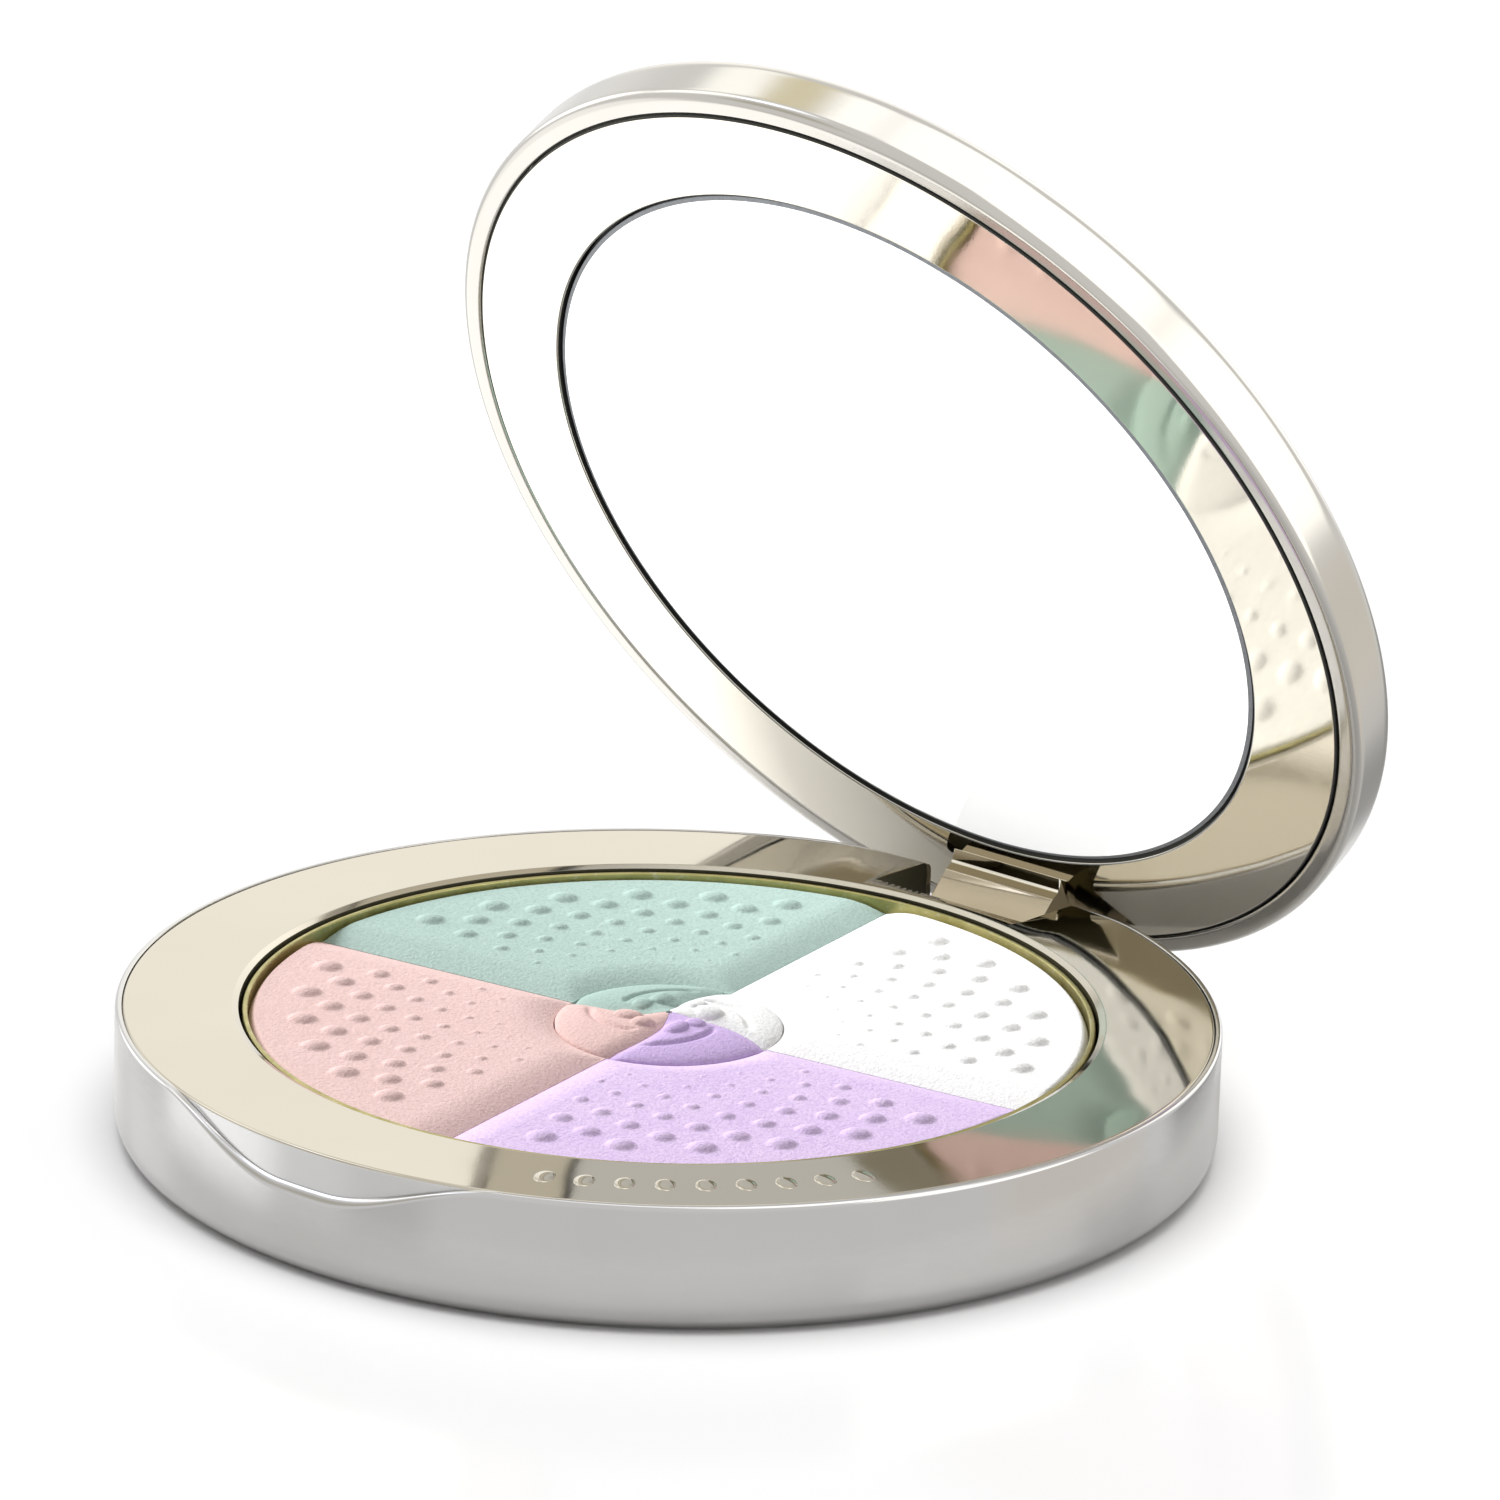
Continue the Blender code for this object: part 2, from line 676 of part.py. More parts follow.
def make_mirror(parts):
    """The mirror and the adhesive pad behind it."""
    back_z = MIRROR_FACE_Z + MIRROR_T
    profile = [
        (0.0, back_z),
        (MIRROR_R, back_z),
        (MIRROR_R, MIRROR_FACE_Z + MIRROR_BEVEL_DROP),
        (MIRROR_R - MIRROR_BEVEL, MIRROR_FACE_Z),
        (0.0, MIRROR_FACE_Z),
    ]
    shade(turned("mirror_glass", profile, parts, "mirror"))
    centre = (0.0, 0.0, back_z + PAD_GAP + MIRROR_PAD_T / 2)
    name = "mirror_adhesive"
    shade(bar(name, MIRROR_PAD_R, MIRROR_PAD_T, centre, parts, "adhesive", "Z", 48))


def make_lid_magnets(parts):
    low_z = LID_FACE_Z + MAGNET_COVER_T + PAD_GAP
    for side, sign in (("left", -1), ("right", 1)):
        centre = (sign * MAGNET_X, MAGNET_Y, low_z + MAGNET_T / 2)
        name = "lid_magnet_" + side
        shade(bar(name, MAGNET_R, MAGNET_T, centre, parts, "magnet", along="Z"))


def hang_on_hinge(pieces, pivot):
    """Makes the pieces turn about the hinge axis, keeping their closed places."""
    for piece in pieces:
        piece.parent = pivot
        piece.matrix_parent_inverse = pivot.matrix_world.inverted()


# Build


def make_base(parts, cutters):
    swing = swing_cutter(cutters)
    shade(make_base_shell(parts, cutters, swing))
    shade(make_base_tray(parts, cutters, swing))
    make_base_label(parts)
    make_hinge_pins(parts)
    make_base_magnets(parts)
    make_pan_adhesive(parts)
    shade(make_pan(parts))
    for powder, middle_deg in QUARTERS.items():
        shade(make_quarter("powder_" + powder, middle_deg, parts))
        shade(make_lobe(powder, middle_deg, parts))


def make_lid(parts, cutters):
    shade(make_lid_shell(parts, cutters))
    shade(make_mirror_frame(parts, cutters))
    make_sleeves(parts, cutters)
    make_mirror(parts)
    make_lid_magnets(parts)


def main():
    clear_scene()
    parts = new_collection("powder_compact")
    cutters = new_collection("cutters")
    make_base(parts, cutters)
    before = set(bpy.data.objects)
    make_lid(parts, cutters)
    pivot = bpy.data.objects.new("lid_pivot", None)
    pivot.location = (0.0, HINGE_Y, HINGE_Z)
    parts.objects.link(pivot)
    bpy.context.view_layer.update()
    lid_objects = [obj for obj in bpy.data.objects if obj not in before and obj != pivot]
    hang_on_hinge(lid_objects, pivot)
    pivot.rotation_euler.x = -math.radians(REST_OPEN_DEG)


main()
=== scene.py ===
"""Looks of a round powder compact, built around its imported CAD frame.

Everything is in metres in the frame's own axes: +Z up, +Y towards the hinge, -Y towards the
finger dip. Lid pieces are drawn with the lid closed and then turned to its resting angle.
"""

import json
import math

import bmesh
import bpy
import numpy as np
from mathutils import Matrix, Vector


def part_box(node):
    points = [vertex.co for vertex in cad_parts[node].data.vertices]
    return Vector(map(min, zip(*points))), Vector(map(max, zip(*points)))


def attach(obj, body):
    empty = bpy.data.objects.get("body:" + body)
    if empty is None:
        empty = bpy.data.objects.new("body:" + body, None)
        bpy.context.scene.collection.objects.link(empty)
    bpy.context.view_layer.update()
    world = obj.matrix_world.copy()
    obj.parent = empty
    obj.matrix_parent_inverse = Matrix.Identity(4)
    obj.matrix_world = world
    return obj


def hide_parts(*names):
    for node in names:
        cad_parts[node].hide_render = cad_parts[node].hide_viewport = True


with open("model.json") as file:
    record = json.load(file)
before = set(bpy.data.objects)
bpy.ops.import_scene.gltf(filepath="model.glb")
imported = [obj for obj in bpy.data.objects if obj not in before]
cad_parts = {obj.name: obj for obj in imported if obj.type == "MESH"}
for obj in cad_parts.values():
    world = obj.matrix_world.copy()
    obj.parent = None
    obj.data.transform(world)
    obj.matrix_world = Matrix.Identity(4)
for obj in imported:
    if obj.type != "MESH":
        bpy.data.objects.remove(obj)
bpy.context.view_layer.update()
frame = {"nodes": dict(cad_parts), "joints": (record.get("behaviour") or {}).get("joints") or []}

MM = 0.001


# Sizes read from the frame


def box_of(points):
    """Lowest and highest corner of some points."""
    low = Vector([min(p[i] for p in points) for i in range(3)])
    high = Vector([max(p[i] for p in points) for i in range(3)])
    return low, high


def closed_points(node):
    """A lid node's points with the lid closed."""
    return [TO_REST.inverted() @ v.co for v in frame["nodes"][node].data.vertices]


JOINT = frame["joints"][0]
HINGE = Vector(JOINT["pos_m"])
OPEN_ANGLE = math.radians(-JOINT["range_deg"][0])  # from closed to rest
TO_REST = (
    Matrix.Translation(HINGE)
    @ Matrix.Rotation(-OPEN_ANGLE, 4, "X")
    @ Matrix.Translation(-HINGE)
)

BODY_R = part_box("base_shell")[1].x
BASE_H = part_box("base_shell")[1].z
LABEL_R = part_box("base_label")[1].x
LABEL_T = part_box("base_label")[1].z
TRAY_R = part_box("base_tray")[1].x
TRAY_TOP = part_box("base_tray")[1].z
TRAY_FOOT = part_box("base_tray")[0].z
PAN_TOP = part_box("powder_pan")[1].z
PAN_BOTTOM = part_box("powder_pan")[0].z
POWDER_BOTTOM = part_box("powder_mint")[0].z
POWDER_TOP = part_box("powder_mint")[1].z
LOBE_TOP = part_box("centre_lobe_mint")[1].z
PIN_OUTER_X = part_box("hinge_pin_right")[1].x
PIN_INNER_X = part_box("hinge_pin_right")[0].x
PIN_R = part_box("hinge_pin_right")[1].z - HINGE.z

LID_FACE = box_of(closed_points("lid_shell"))[0].z
LID_TOP = box_of(closed_points("lid_shell"))[1].z
FRAME_R = box_of(closed_points("mirror_frame"))[1].x
FRAME_BACK = box_of(closed_points("mirror_frame"))[1].z
MIRROR_FACE, MIRROR_BACK = [c.z for c in box_of(closed_points("mirror_glass"))]
LUG_LOW, LUG_HIGH = box_of([p for p in closed_points("mirror_frame") if p.z < LID_FACE - 0.3 * MM])

# Sizes of the fine shapes

WALL = 0.95 * MM
FLOOR_T = 1.0 * MM
FOOT_ROUND = 2.0 * MM
RIM_T = 0.5 * MM  # the base shell's wall along its rim
RIM_ROUND = 0.31 * MM
LIP_SLOPE = 0.16  # in the dip the rim falls outwards by this part of the dip's depth
RIM_ZONE = 1.6 * MM  # the part of the wall that follows the dip
STEP_DEPTH = 4.0 * MM  # the wall is thicker from here down
RING_R = BODY_R - RIM_T - 0.02 * MM
DIP_DEPTH = 2.8 * MM
DIP_FLAT = 2.0 * MM
DIP_HALF = 15.5 * MM
SWING_R = 5.2 * MM
WELL_R = 31.1 * MM
WELL_LIP = 0.5 * MM  # the bevel round the ring's inner edge
WELL_LIP_DROP = 0.22 * MM
WELL_FLOOR = 4.7 * MM
WELL_PLATE = 0.8 * MM
TRAY_WALL = 1.0 * MM
TRAY_PLATE = 1.2 * MM
PLATE_ZONE = 0.6 * MM  # the part of the tray's ring that follows the rear rim
SLOT_HALF = 7.0 * MM
SLOT_FRONT_Y = 32.9 * MM
BOSS_HALF = 11.0 * MM
RIM_INNER_R = 38.2 * MM
MIRROR_POCKET_R = 31.05 * MM
MIRROR_GAP = 0.26 * MM
PAN_EDGE_R = 30.85 * MM
PAN_EDGE_T = 0.4 * MM
PAN_EDGE_Z = PAN_TOP + 0.5 * MM
PAN_FLOOR_T = 0.4 * MM
POWDER_R = 30.4 * MM
LOBE_R = 8.3 * MM
GAP = 0.05 * MM  # from a powder to its border with the next

# The valleys along a quarter's borders
VALLEY_DEPTH = 0.75 * MM
VALLEY_WIDTH = 3.2 * MM
VALLEY_BLEND = 0.35 * MM  # softens the mitred corners
VALLEY_CURVE = 1.7
OUTER_STEEPNESS = 6.0  # the valley along the pan is this many times narrower

# The quarters' diagonals, in degrees from +X, and how far the powder and its dots turn from them
QUARTERS = {"white": 45.0, "mint": 135.0, "pink": 225.0, "lilac": 315.0}
QUARTER_TURN = 7.5
DOT_TURN = 6.1

# A dot is the top of a ball, in parts of the dot's own radius
DOT_SPREAD = 0.85  # the ball's radius is one over this
DOT_CUT = 0.527  # height above the ball's middle where the dot starts
DOT_HEIGHT = 0.74

SEGMENTS = 360  # round the large turned pieces
ARC_STEP_DEG = 12.0  # along a rounded corner


# Mesh helpers


def link(name, mesh):
    obj = bpy.data.objects.new(name, mesh)
    bpy.context.scene.collection.objects.link(obj)
    return obj


def smooth(obj, sharp_deg=40.0):
    obj.data.shade_smooth()
    obj.data.set_sharp_from_angle(angle=math.radians(sharp_deg))
    return obj


def smooth_step(value):
    value = np.clip(value, 0.0, 1.0)
    return value * value * (3.0 - 2.0 * value)


def rounded(corners, closed=False):
    """A path through (x, y, radius) corners, each turned into an arc.

    A point just before and after each arc keeps the flats beside it flat when shaded.
    """
    path = []
    count = len(corners)
    for i, (x, y, radius) in enumerate(corners):
        here = Vector((x, y))
        if radius <= 0.0 or (not closed and i in (0, count - 1)):
            path.append((x, y))
            continue
        before = (Vector(corners[i - 1][:2]) - here).normalized()
        after = (Vector(corners[(i + 1) % count][:2]) - here).normalized()
        turn = math.pi - before.angle(after)
        reach = radius * math.tan(turn / 2)
        centre = here + (before + after).normalized() * (radius / math.cos(turn / 2))
        first = here + before * reach - centre
        side = 1.0 if before.cross(after) < 0 else -1.0
        steps = max(3, round(math.degrees(turn) / ARC_STEP_DEG))
        guard = reach + 0.25 * radius
        path.append(tuple(here + before * guard))
        for k in range(steps + 1):
            angle = side * turn * k / steps
            spoke = Matrix.Rotation(angle, 2) @ first
            path.append(tuple(centre + spoke))
        path.append(tuple(here + after * guard))
    return path


def revolve(name, path, drop=None, segments=SEGMENTS):
    """Turns a (radius, height) path about Z; drop(x, y, z) says how far a point is lowered."""
    vertices, rings = [], []
    for radius, height in path:
        if radius < 1e-7:
            rings.append([len(vertices)])
            vertices.append((0.0, 0.0, height))
            continue
        rings.append(range(len(vertices), len(vertices) + segments))
        for k in range(segments):
            angle = 2.0 * math.pi * k / segments
            x, y = radius * math.cos(angle), radius * math.sin(angle)
            z = height - drop(x, y, height) if drop else height
            vertices.append((x, y, z))
    faces = []
    for a, b in zip(rings, rings[1:]):
        for k in range(segments):
            n = (k + 1) % segments
            if len(a) == 1:
                faces.append((a[0], b[k], b[n]))
            elif len(b) == 1:
                faces.append((a[k], b[0], a[n]))
            else:
                faces.append((a[k], b[k], b[n], a[n]))
    mesh = bpy.data.meshes.new(name)
    mesh.from_pydata(vertices, [], faces)
    face_out(mesh)
    return link(name, mesh)


def face_out(mesh):
    """Turns all faces of a closed mesh outwards."""
    bm = bmesh.new()
    bm.from_mesh(mesh)
    bmesh.ops.recalc_face_normals(bm, faces=bm.faces)
    if bm.calc_volume(signed=True) < 0:
        bmesh.ops.reverse_faces(bm, faces=bm.faces)
    bm.to_mesh(mesh)
    bm.free()


def prism(name, outline, half_width, bevel=0.0):
    """A (y, z) outline drawn out along X, both ways from the middle, its end edges rounded."""
    bm = bmesh.new()
    near = [bm.verts.new((-half_width, y, z)) for y, z in outline]
    far = [bm.verts.new((half_width, y, z)) for y, z in outline]
    ends = [bm.faces.new(near), bm.faces.new(far[::-1])]
    for i in range(len(outline)):
        j = (i + 1) % len(outline)
        bm.faces.new((near[i], far[i], far[j], near[j]))
    if bevel:
        edges = [edge for end in ends for edge in end.edges]
        bmesh.ops.bevel(bm, geom=edges, offset=bevel, segments=3, profile=0.5, affect="EDGES")
    mesh = bpy.data.meshes.new(name)
    bm.to_mesh(mesh)
    bm.free()
    face_out(mesh)
    return link(name, mesh)


def rod(name, radius, low_x, high_x):
    """A round bar along X on the hinge axis."""
    sides = 64
    points = []
    for k in range(sides):
        angle = 2.0 * math.pi * k / sides
        points.append((radius * math.cos(angle), radius * math.sin(angle)))
    obj = prism(name, points, (high_x - low_x) / 2)
    obj.data.transform(Matrix.Translation(((high_x + low_x) / 2, HINGE.y, HINGE.z)))
    return obj


def apply_modifiers(obj):
    bpy.context.view_layer.update()
    graph = bpy.context.evaluated_depsgraph_get()
    mesh = bpy.data.meshes.new_from_object(obj.evaluated_get(graph))
    obj.modifiers.clear()
    obj.data = mesh


def combine(obj, other, operation):
    """Cuts, joins or intersects obj with other, and removes other."""
    boolean = obj.modifiers.new("combine", "BOOLEAN")
    boolean.operation = operation
    boolean.object = other
    boolean.solver = "EXACT"
    apply_modifiers(obj)
    bpy.data.objects.remove(other, do_unlink=True)


# Node helpers


class Nodes:
    """The node tree of a material or of the world, with short calls for the nodes used here."""

    def __init__(self, name, world=False):
        self.owner = (bpy.data.worlds if world else bpy.data.materials).new(name)
        self.owner.use_nodes = True
        self.tree = self.owner.node_tree
        self.shader = self.tree.nodes["Background" if world else "Principled BSDF"]

    def add(self, kind, **settings):
        node = self.tree.nodes.new("ShaderNode" + kind)
        for key, value in settings.items():
            setattr(node, key, value)
        return node

    def plug(self, source, target):
        self.tree.links.new(source, target)

    def place(self):
        """Object coordinates, in metres."""
        return self.add("TexCoord").outputs["Object"]

    def noise(self, size, detail=3.0, roughness=0.5):
        """Noise whose largest features are about this many metres across."""
        node = self.add("TexNoise")
        node.inputs["Scale"].default_value = 1.0 / size
        node.inputs["Detail"].default_value = detail
        node.inputs["Roughness"].default_value = roughness
        self.plug(self.place(), node.inputs["Vector"])
        return node.outputs["Fac"]

    def cells(self, size):
        """Distance to the nearest of points about this many metres apart, in cell sizes."""
        node = self.add("TexVoronoi")
        node.inputs["Scale"].default_value = 1.0 / size
        self.plug(self.place(), node.inputs["Vector"])
        return node.outputs["Distance"]

    def remap(self, value, from_low, from_high, to_low, to_high):
        node = self.add("MapRange")
        node.inputs["From Min"].default_value = from_low
        node.inputs["From Max"].default_value = from_high
        node.inputs["To Min"].default_value = to_low
        node.inputs["To Max"].default_value = to_high
        self.plug(value, node.inputs["Value"])
        return node.outputs["Result"]

    def math(self, operation, first, second):
        node = self.add("Math", operation=operation)
        for socket, value in zip(node.inputs, (first, second)):
            if isinstance(value, (int, float)):
                socket.default_value = value
            else:
                self.plug(value, socket)
        return node.outputs["Value"]

    def mix(self, factor, first, second):
        """Colour between first and second."""
        node = self.add("Mix", data_type="RGBA")
        self.plug(factor, node.inputs["Factor"])
        for socket, value in ((node.inputs[6], first), (node.inputs[7], second)):
            if isinstance(value, tuple):
                socket.default_value = (*value, 1.0)
            else:
                self.plug(value, socket)
        return node.outputs[2]

    def bump(self, height, distance, strength, under=None):
        """A normal from a height between 0 and 1 that stands for distance metres."""
        node = self.add("Bump")
        node.inputs["Strength"].default_value = strength
        node.inputs["Distance"].default_value = distance
        self.plug(height, node.inputs["Height"])
        if under:
            self.plug(under, node.inputs["Normal"])
        return node.outputs["Normal"]

    def finish(self, colour, roughness, normal=None, metallic=0.0, specular=0.5):
        """Feeds the shader. A constant is set on the shader's own socket."""
        inputs = (
            ("Base Color", colour),
            ("Roughness", roughness),
            ("Normal", normal),
            ("Metallic", metallic),
            ("Specular IOR Level", specular),
        )
        for socket, value in inputs:
            if isinstance(value, float):
                self.shader.inputs[socket].default_value = value
            elif value is not None:
                self.plug(value, self.shader.inputs[socket])
        return self.owner


def scaled(colour, factor):
    return tuple(min(c * factor, 1.0) for c in colour)


def varied(n, size, detail, colour, spread=0.015):
    """A colour that drifts a little either way over features of this size."""
    tone = n.remap(n.noise(size, detail), 0.3, 0.7, 0.0, 1.0)
    return n.mix(tone, scaled(colour, 1.0 - spread), scaled(colour, 1.0 + spread))


# Materials


def satin_silver(name, colour, metallic=1.0):
    """Satin plated metal: fine blasted grain, faint handling marks."""
    n = Nodes(name)
    grain = n.noise(0.12 * MM, 2.0, 0.6)
    smudge = n.remap(n.noise(5.0 * MM, 5.0, 0.65), 0.35, 0.7, 0.13, 0.17)
    rough = n.math("ADD", smudge, n.remap(grain, 0.3, 0.7, -0.02, 0.02))
    wave = n.bump(n.noise(8.0 * MM, 1.0, 0.4), 0.09 * MM, 0.5)
    normal = n.bump(grain, 0.003 * MM, 0.5, wave)
    return n.finish(varied(n, 9.0 * MM, 2.0, colour), rough, normal, metallic=metallic)


def polished_champagne(name, colour):
    """Bright champagne plating on moulded plastic: faint ripples, wiped smears, specks of dust."""
    n = Nodes(name)
    smear = n.remap(n.noise(6.0 * MM, 4.0, 0.6), 0.35, 0.75, 0.045, 0.085)
    dust = n.remap(n.cells(0.9 * MM), 0.0, 0.05, 0.1, 0.0)
    ripple = n.bump(n.noise(11.0 * MM, 1.0, 0.4), 0.09 * MM, 0.6)
    normal = n.bump(n.noise(0.2 * MM, 2.0), 0.0015 * MM, 0.4, ripple)
    colour = varied(n, 14.0 * MM, 1.0, colour)
    return n.finish(colour, n.math("ADD", smear, dust), normal, metallic=1.0)


def mirror_painted_white():
    """Silvered glass that turns mostly pale, dull white at a slant, painted in place of its
    reflection, and is a clear mirror straight on.
    """
    n = Nodes("mirror_painted_white")
    haze = n.noise(12.0 * MM, 4.0, 0.6)
    rough = n.remap(haze, 0.35, 0.75, 0.006, 0.03)
    colour = n.mix(n.remap(haze, 0.3, 0.7, 0.0, 1.0), (0.86, 0.87, 0.865), (0.88, 0.88, 0.875))
    # Painted reflection: at a slant the metal share drops and the pale white base shows in place
    # of the mirror's reflection.
    slant = n.add("LayerWeight").outputs["Facing"]
    clear = n.remap(slant, 0.27, 0.42, 1.0, 0.35)
    return n.finish(colour, rough, metallic=clear)


def pan_metal():
    """Thin drawn pan, lacquered gold, uneven in tone, with powder dust on it."""
    n = Nodes("pan_gold_metal")
    tone = n.remap(n.noise(2.5 * MM, 4.0), 0.3, 0.7, 0.0, 1.0)
    metal = n.mix(tone, (0.36, 0.32, 0.12), (0.50, 0.45, 0.20))
    dust = n.remap(n.noise(0.45 * MM, 4.0, 0.7), 0.56, 0.68, 0.0, 0.4)
    colour = n.mix(dust, metal, (0.62, 0.60, 0.50))
    rough = n.remap(n.noise(0.8 * MM, 4.0), 0.3, 0.7, 0.28, 0.5)
    return n.finish(colour, rough, n.bump(n.noise(0.25 * MM, 3.0), 0.01 * MM, 0.6), metallic=1.0)


def pressed_powder(name, colour, deep):
    """Pressed cosmetic powder: fine grain, soft mottling, and darker specks that are painted shade
    for small hollows.
    """
    n = Nodes(name)
    grain = n.noise(0.26 * MM, 2.0, 0.7)
    coarse = n.noise(0.7 * MM, 3.0, 0.6)
    mottle = n.noise(6.0 * MM, 4.0, 0.55)
    tone = n.mix(n.remap(mottle, 0.3, 0.7, 0.0, 0.4), colour, deep)
    tone = n.mix(n.remap(grain, 0.3, 0.58, 0.75, 0.0), tone, scaled(deep, 0.86))
    # Painted shade: darker specks that stand for shade in small hollows.
    pit_shade = n.remap(n.cells(0.75 * MM), 0.0, 0.1, 0.4, 0.0)
    tone = n.mix(pit_shade, tone, scaled(deep, 0.85))
    normal = n.bump(coarse, 0.04 * MM, 0.5)
    normal = n.bump(grain, 0.08 * MM, 0.9, normal)
    return n.finish(tone, n.remap(grain, 0.3, 0.7, 0.98, 0.86), normal, specular=0.3)


def steel():
    """Drawn steel wire with a fine uneven grain."""
    n = Nodes("drawn_steel")
    streak = n.noise(0.15 * MM, 3.0)
    rough = n.remap(streak, 0.3, 0.7, 0.2, 0.36)
    colour = n.mix(streak, (0.52, 0.52, 0.53), (0.66, 0.66, 0.66))
    return n.finish(colour, rough, n.bump(streak, 0.003 * MM, 0.5), metallic=1.0)


def magnet_plating():
    """Nickel plating, scuffed in patches."""
    n = Nodes("magnet_plating")
    wear = n.noise(0.6 * MM, 4.0)
    rough = n.remap(wear, 0.3, 0.7, 0.2, 0.45)
    colour = n.mix(wear, (0.36, 0.36, 0.37), (0.50, 0.50, 0.50))
    return n.finish(colour, rough, n.bump(wear, 0.005 * MM, 0.5), metallic=1.0)


def nylon():
    """Natural moulded nylon."""
    n = Nodes("natural_nylon")
    grain = n.noise(0.3 * MM, 3.0)
    colour = n.mix(grain, (0.78, 0.76, 0.70), (0.86, 0.84, 0.79))
    rough = n.remap(grain, 0.3, 0.7, 0.42, 0.58)
    return n.finish(colour, rough, n.bump(grain, 0.01 * MM, 0.5))


def adhesive_pad():
    """Foam tape with open pores."""
    n = Nodes("foam_adhesive")
    pores = n.cells(0.35 * MM)
    colour = n.mix(n.remap(pores, 0.0, 0.5, 0.0, 1.0), (0.70, 0.68, 0.62), (0.87, 0.85, 0.79))
    rough = n.remap(pores, 0.0, 0.5, 0.6, 0.85)
    return n.finish(colour, rough, n.bump(pores, 0.05 * MM, 0.6))


def label_film():
    """Blank satin film, faint paper tooth."""
    n = Nodes("blank_label_film")
    fibre = n.noise(0.4 * MM, 5.0, 0.7)
    colour = n.mix(n.remap(fibre, 0.3, 0.7, 0.0, 1.0), (0.80, 0.795, 0.77), (0.86, 0.855, 0.84))
    rough = n.remap(fibre, 0.3, 0.7, 0.42, 0.6)
    return n.finish(colour, rough, n.bump(fibre, 0.008 * MM, 0.5))


def painted_gap_shade(name, colour):
    """Painted shade in a narrow gap or along a fine edge: a dark, dull, grainy colour."""
    n = Nodes(name)
    grain = n.noise(0.3 * MM, 3.0)
    tone = n.mix(grain, scaled(colour, 0.6), scaled(colour, 1.4))
    return n.finish(tone, n.remap(grain, 0.3, 0.7, 0.4, 0.55), n.bump(grain, 0.01 * MM, 0.4))


def second_finish(obj, material, chosen, lid=False):
    """Gives another material to the faces that chosen(radius, height, slope) picks, lid closed."""
    obj.data.materials.append(material)
    index = len(obj.data.materials) - 1
    to_closed = TO_REST.inverted() if lid else Matrix()
    for face in obj.data.polygons:
        middle = to_closed @ face.center
        slope = abs((to_closed.to_3x3() @ face.normal).z)
        if chosen(math.hypot(middle.x, middle.y), middle.z, slope):
            face.material_index = index


def paint(obj, material):
    obj.data.materials.clear()
    obj.data.materials.append(material)


# Base


def dip_drop(x, y):
    """How far the finger dip lowers the front rim."""
    if y > 0.0:
        return 0.0
    along = (abs(x) - DIP_FLAT) / (DIP_HALF - DIP_FLAT)
    return DIP_DEPTH * float(1.0 - smooth_step(along))


def swing_drop(y):
    """How far the rear rim is relieved for the lid's turning face."""
    behind = min(y - HINGE.y, SWING_R)
    if behind <= 0.0:
        return 0.0
    return BASE_H - HINGE.z - math.sqrt(SWING_R**2 - behind**2)


def shell_drop(x, y, z):
    """How far a point of the base shell is lowered."""
    if z < BASE_H - RIM_ZONE:
        return 0.0
    across = (math.hypot(x, y) - BODY_R + RIM_T) / RIM_T
    return dip_drop(x, y) * (1.0 + LIP_SLOPE * max(across, 0.0)) + swing_drop(y)


def tray_drop(x, y, z):
    """How far a point of the tray is lowered."""
    if z < TRAY_TOP - PLATE_ZONE:
        return 0.0
    return max(swing_drop(y) - (BASE_H - TRAY_TOP), 0.0)


def slot_cutter(bottom_z):
    """Room for the lid's lug, with a chamfer down into it from the ring."""
    above = BASE_H + 5.0 * MM
    behind = BODY_R + 5.0 * MM
    chamfer_y = SLOT_FRONT_Y - 0.4 * MM
    outline = [
        (chamfer_y, above),
        (chamfer_y, BASE_H - 0.03 * MM),
        (SLOT_FRONT_Y, BASE_H - 0.35 * MM),
        (SLOT_FRONT_Y, bottom_z),
        (behind, bottom_z),
        (behind, above),
    ]
    return prism("slot_cutter", outline, SLOT_HALF)


def make_base_shell():
    """The silver cup with its dipped rim, the slot for the lug and the label's recess."""
    inner_r = BODY_R - WALL
    step_z = BASE_H - STEP_DEPTH
    slot_floor = 1.6 * MM
    recess_r = LABEL_R + 0.1 * MM
    recess_z = LABEL_T + 0.05 * MM
    corners = [
        (0.0, FLOOR_T, 0.0),
        (inner_r, FLOOR_T, 1.2 * MM),
        (inner_r, step_z, 0.1 * MM),
        (BODY_R - RIM_T, step_z, 0.05 * MM),
        (BODY_R - RIM_T, BASE_H, 0.08 * MM),
        (BODY_R, BASE_H, RIM_ROUND),
        (BODY_R, 0.0, FOOT_ROUND),
        (recess_r, 0.0, 0.12 * MM),
        (recess_r, recess_z, 0.0),
        (0.0, recess_z, 0.0),
    ]
    shell = revolve("base_outer_shell", rounded(corners), drop=shell_drop)
    combine(shell, slot_cutter(slot_floor), "DIFFERENCE")
    return smooth(shell)


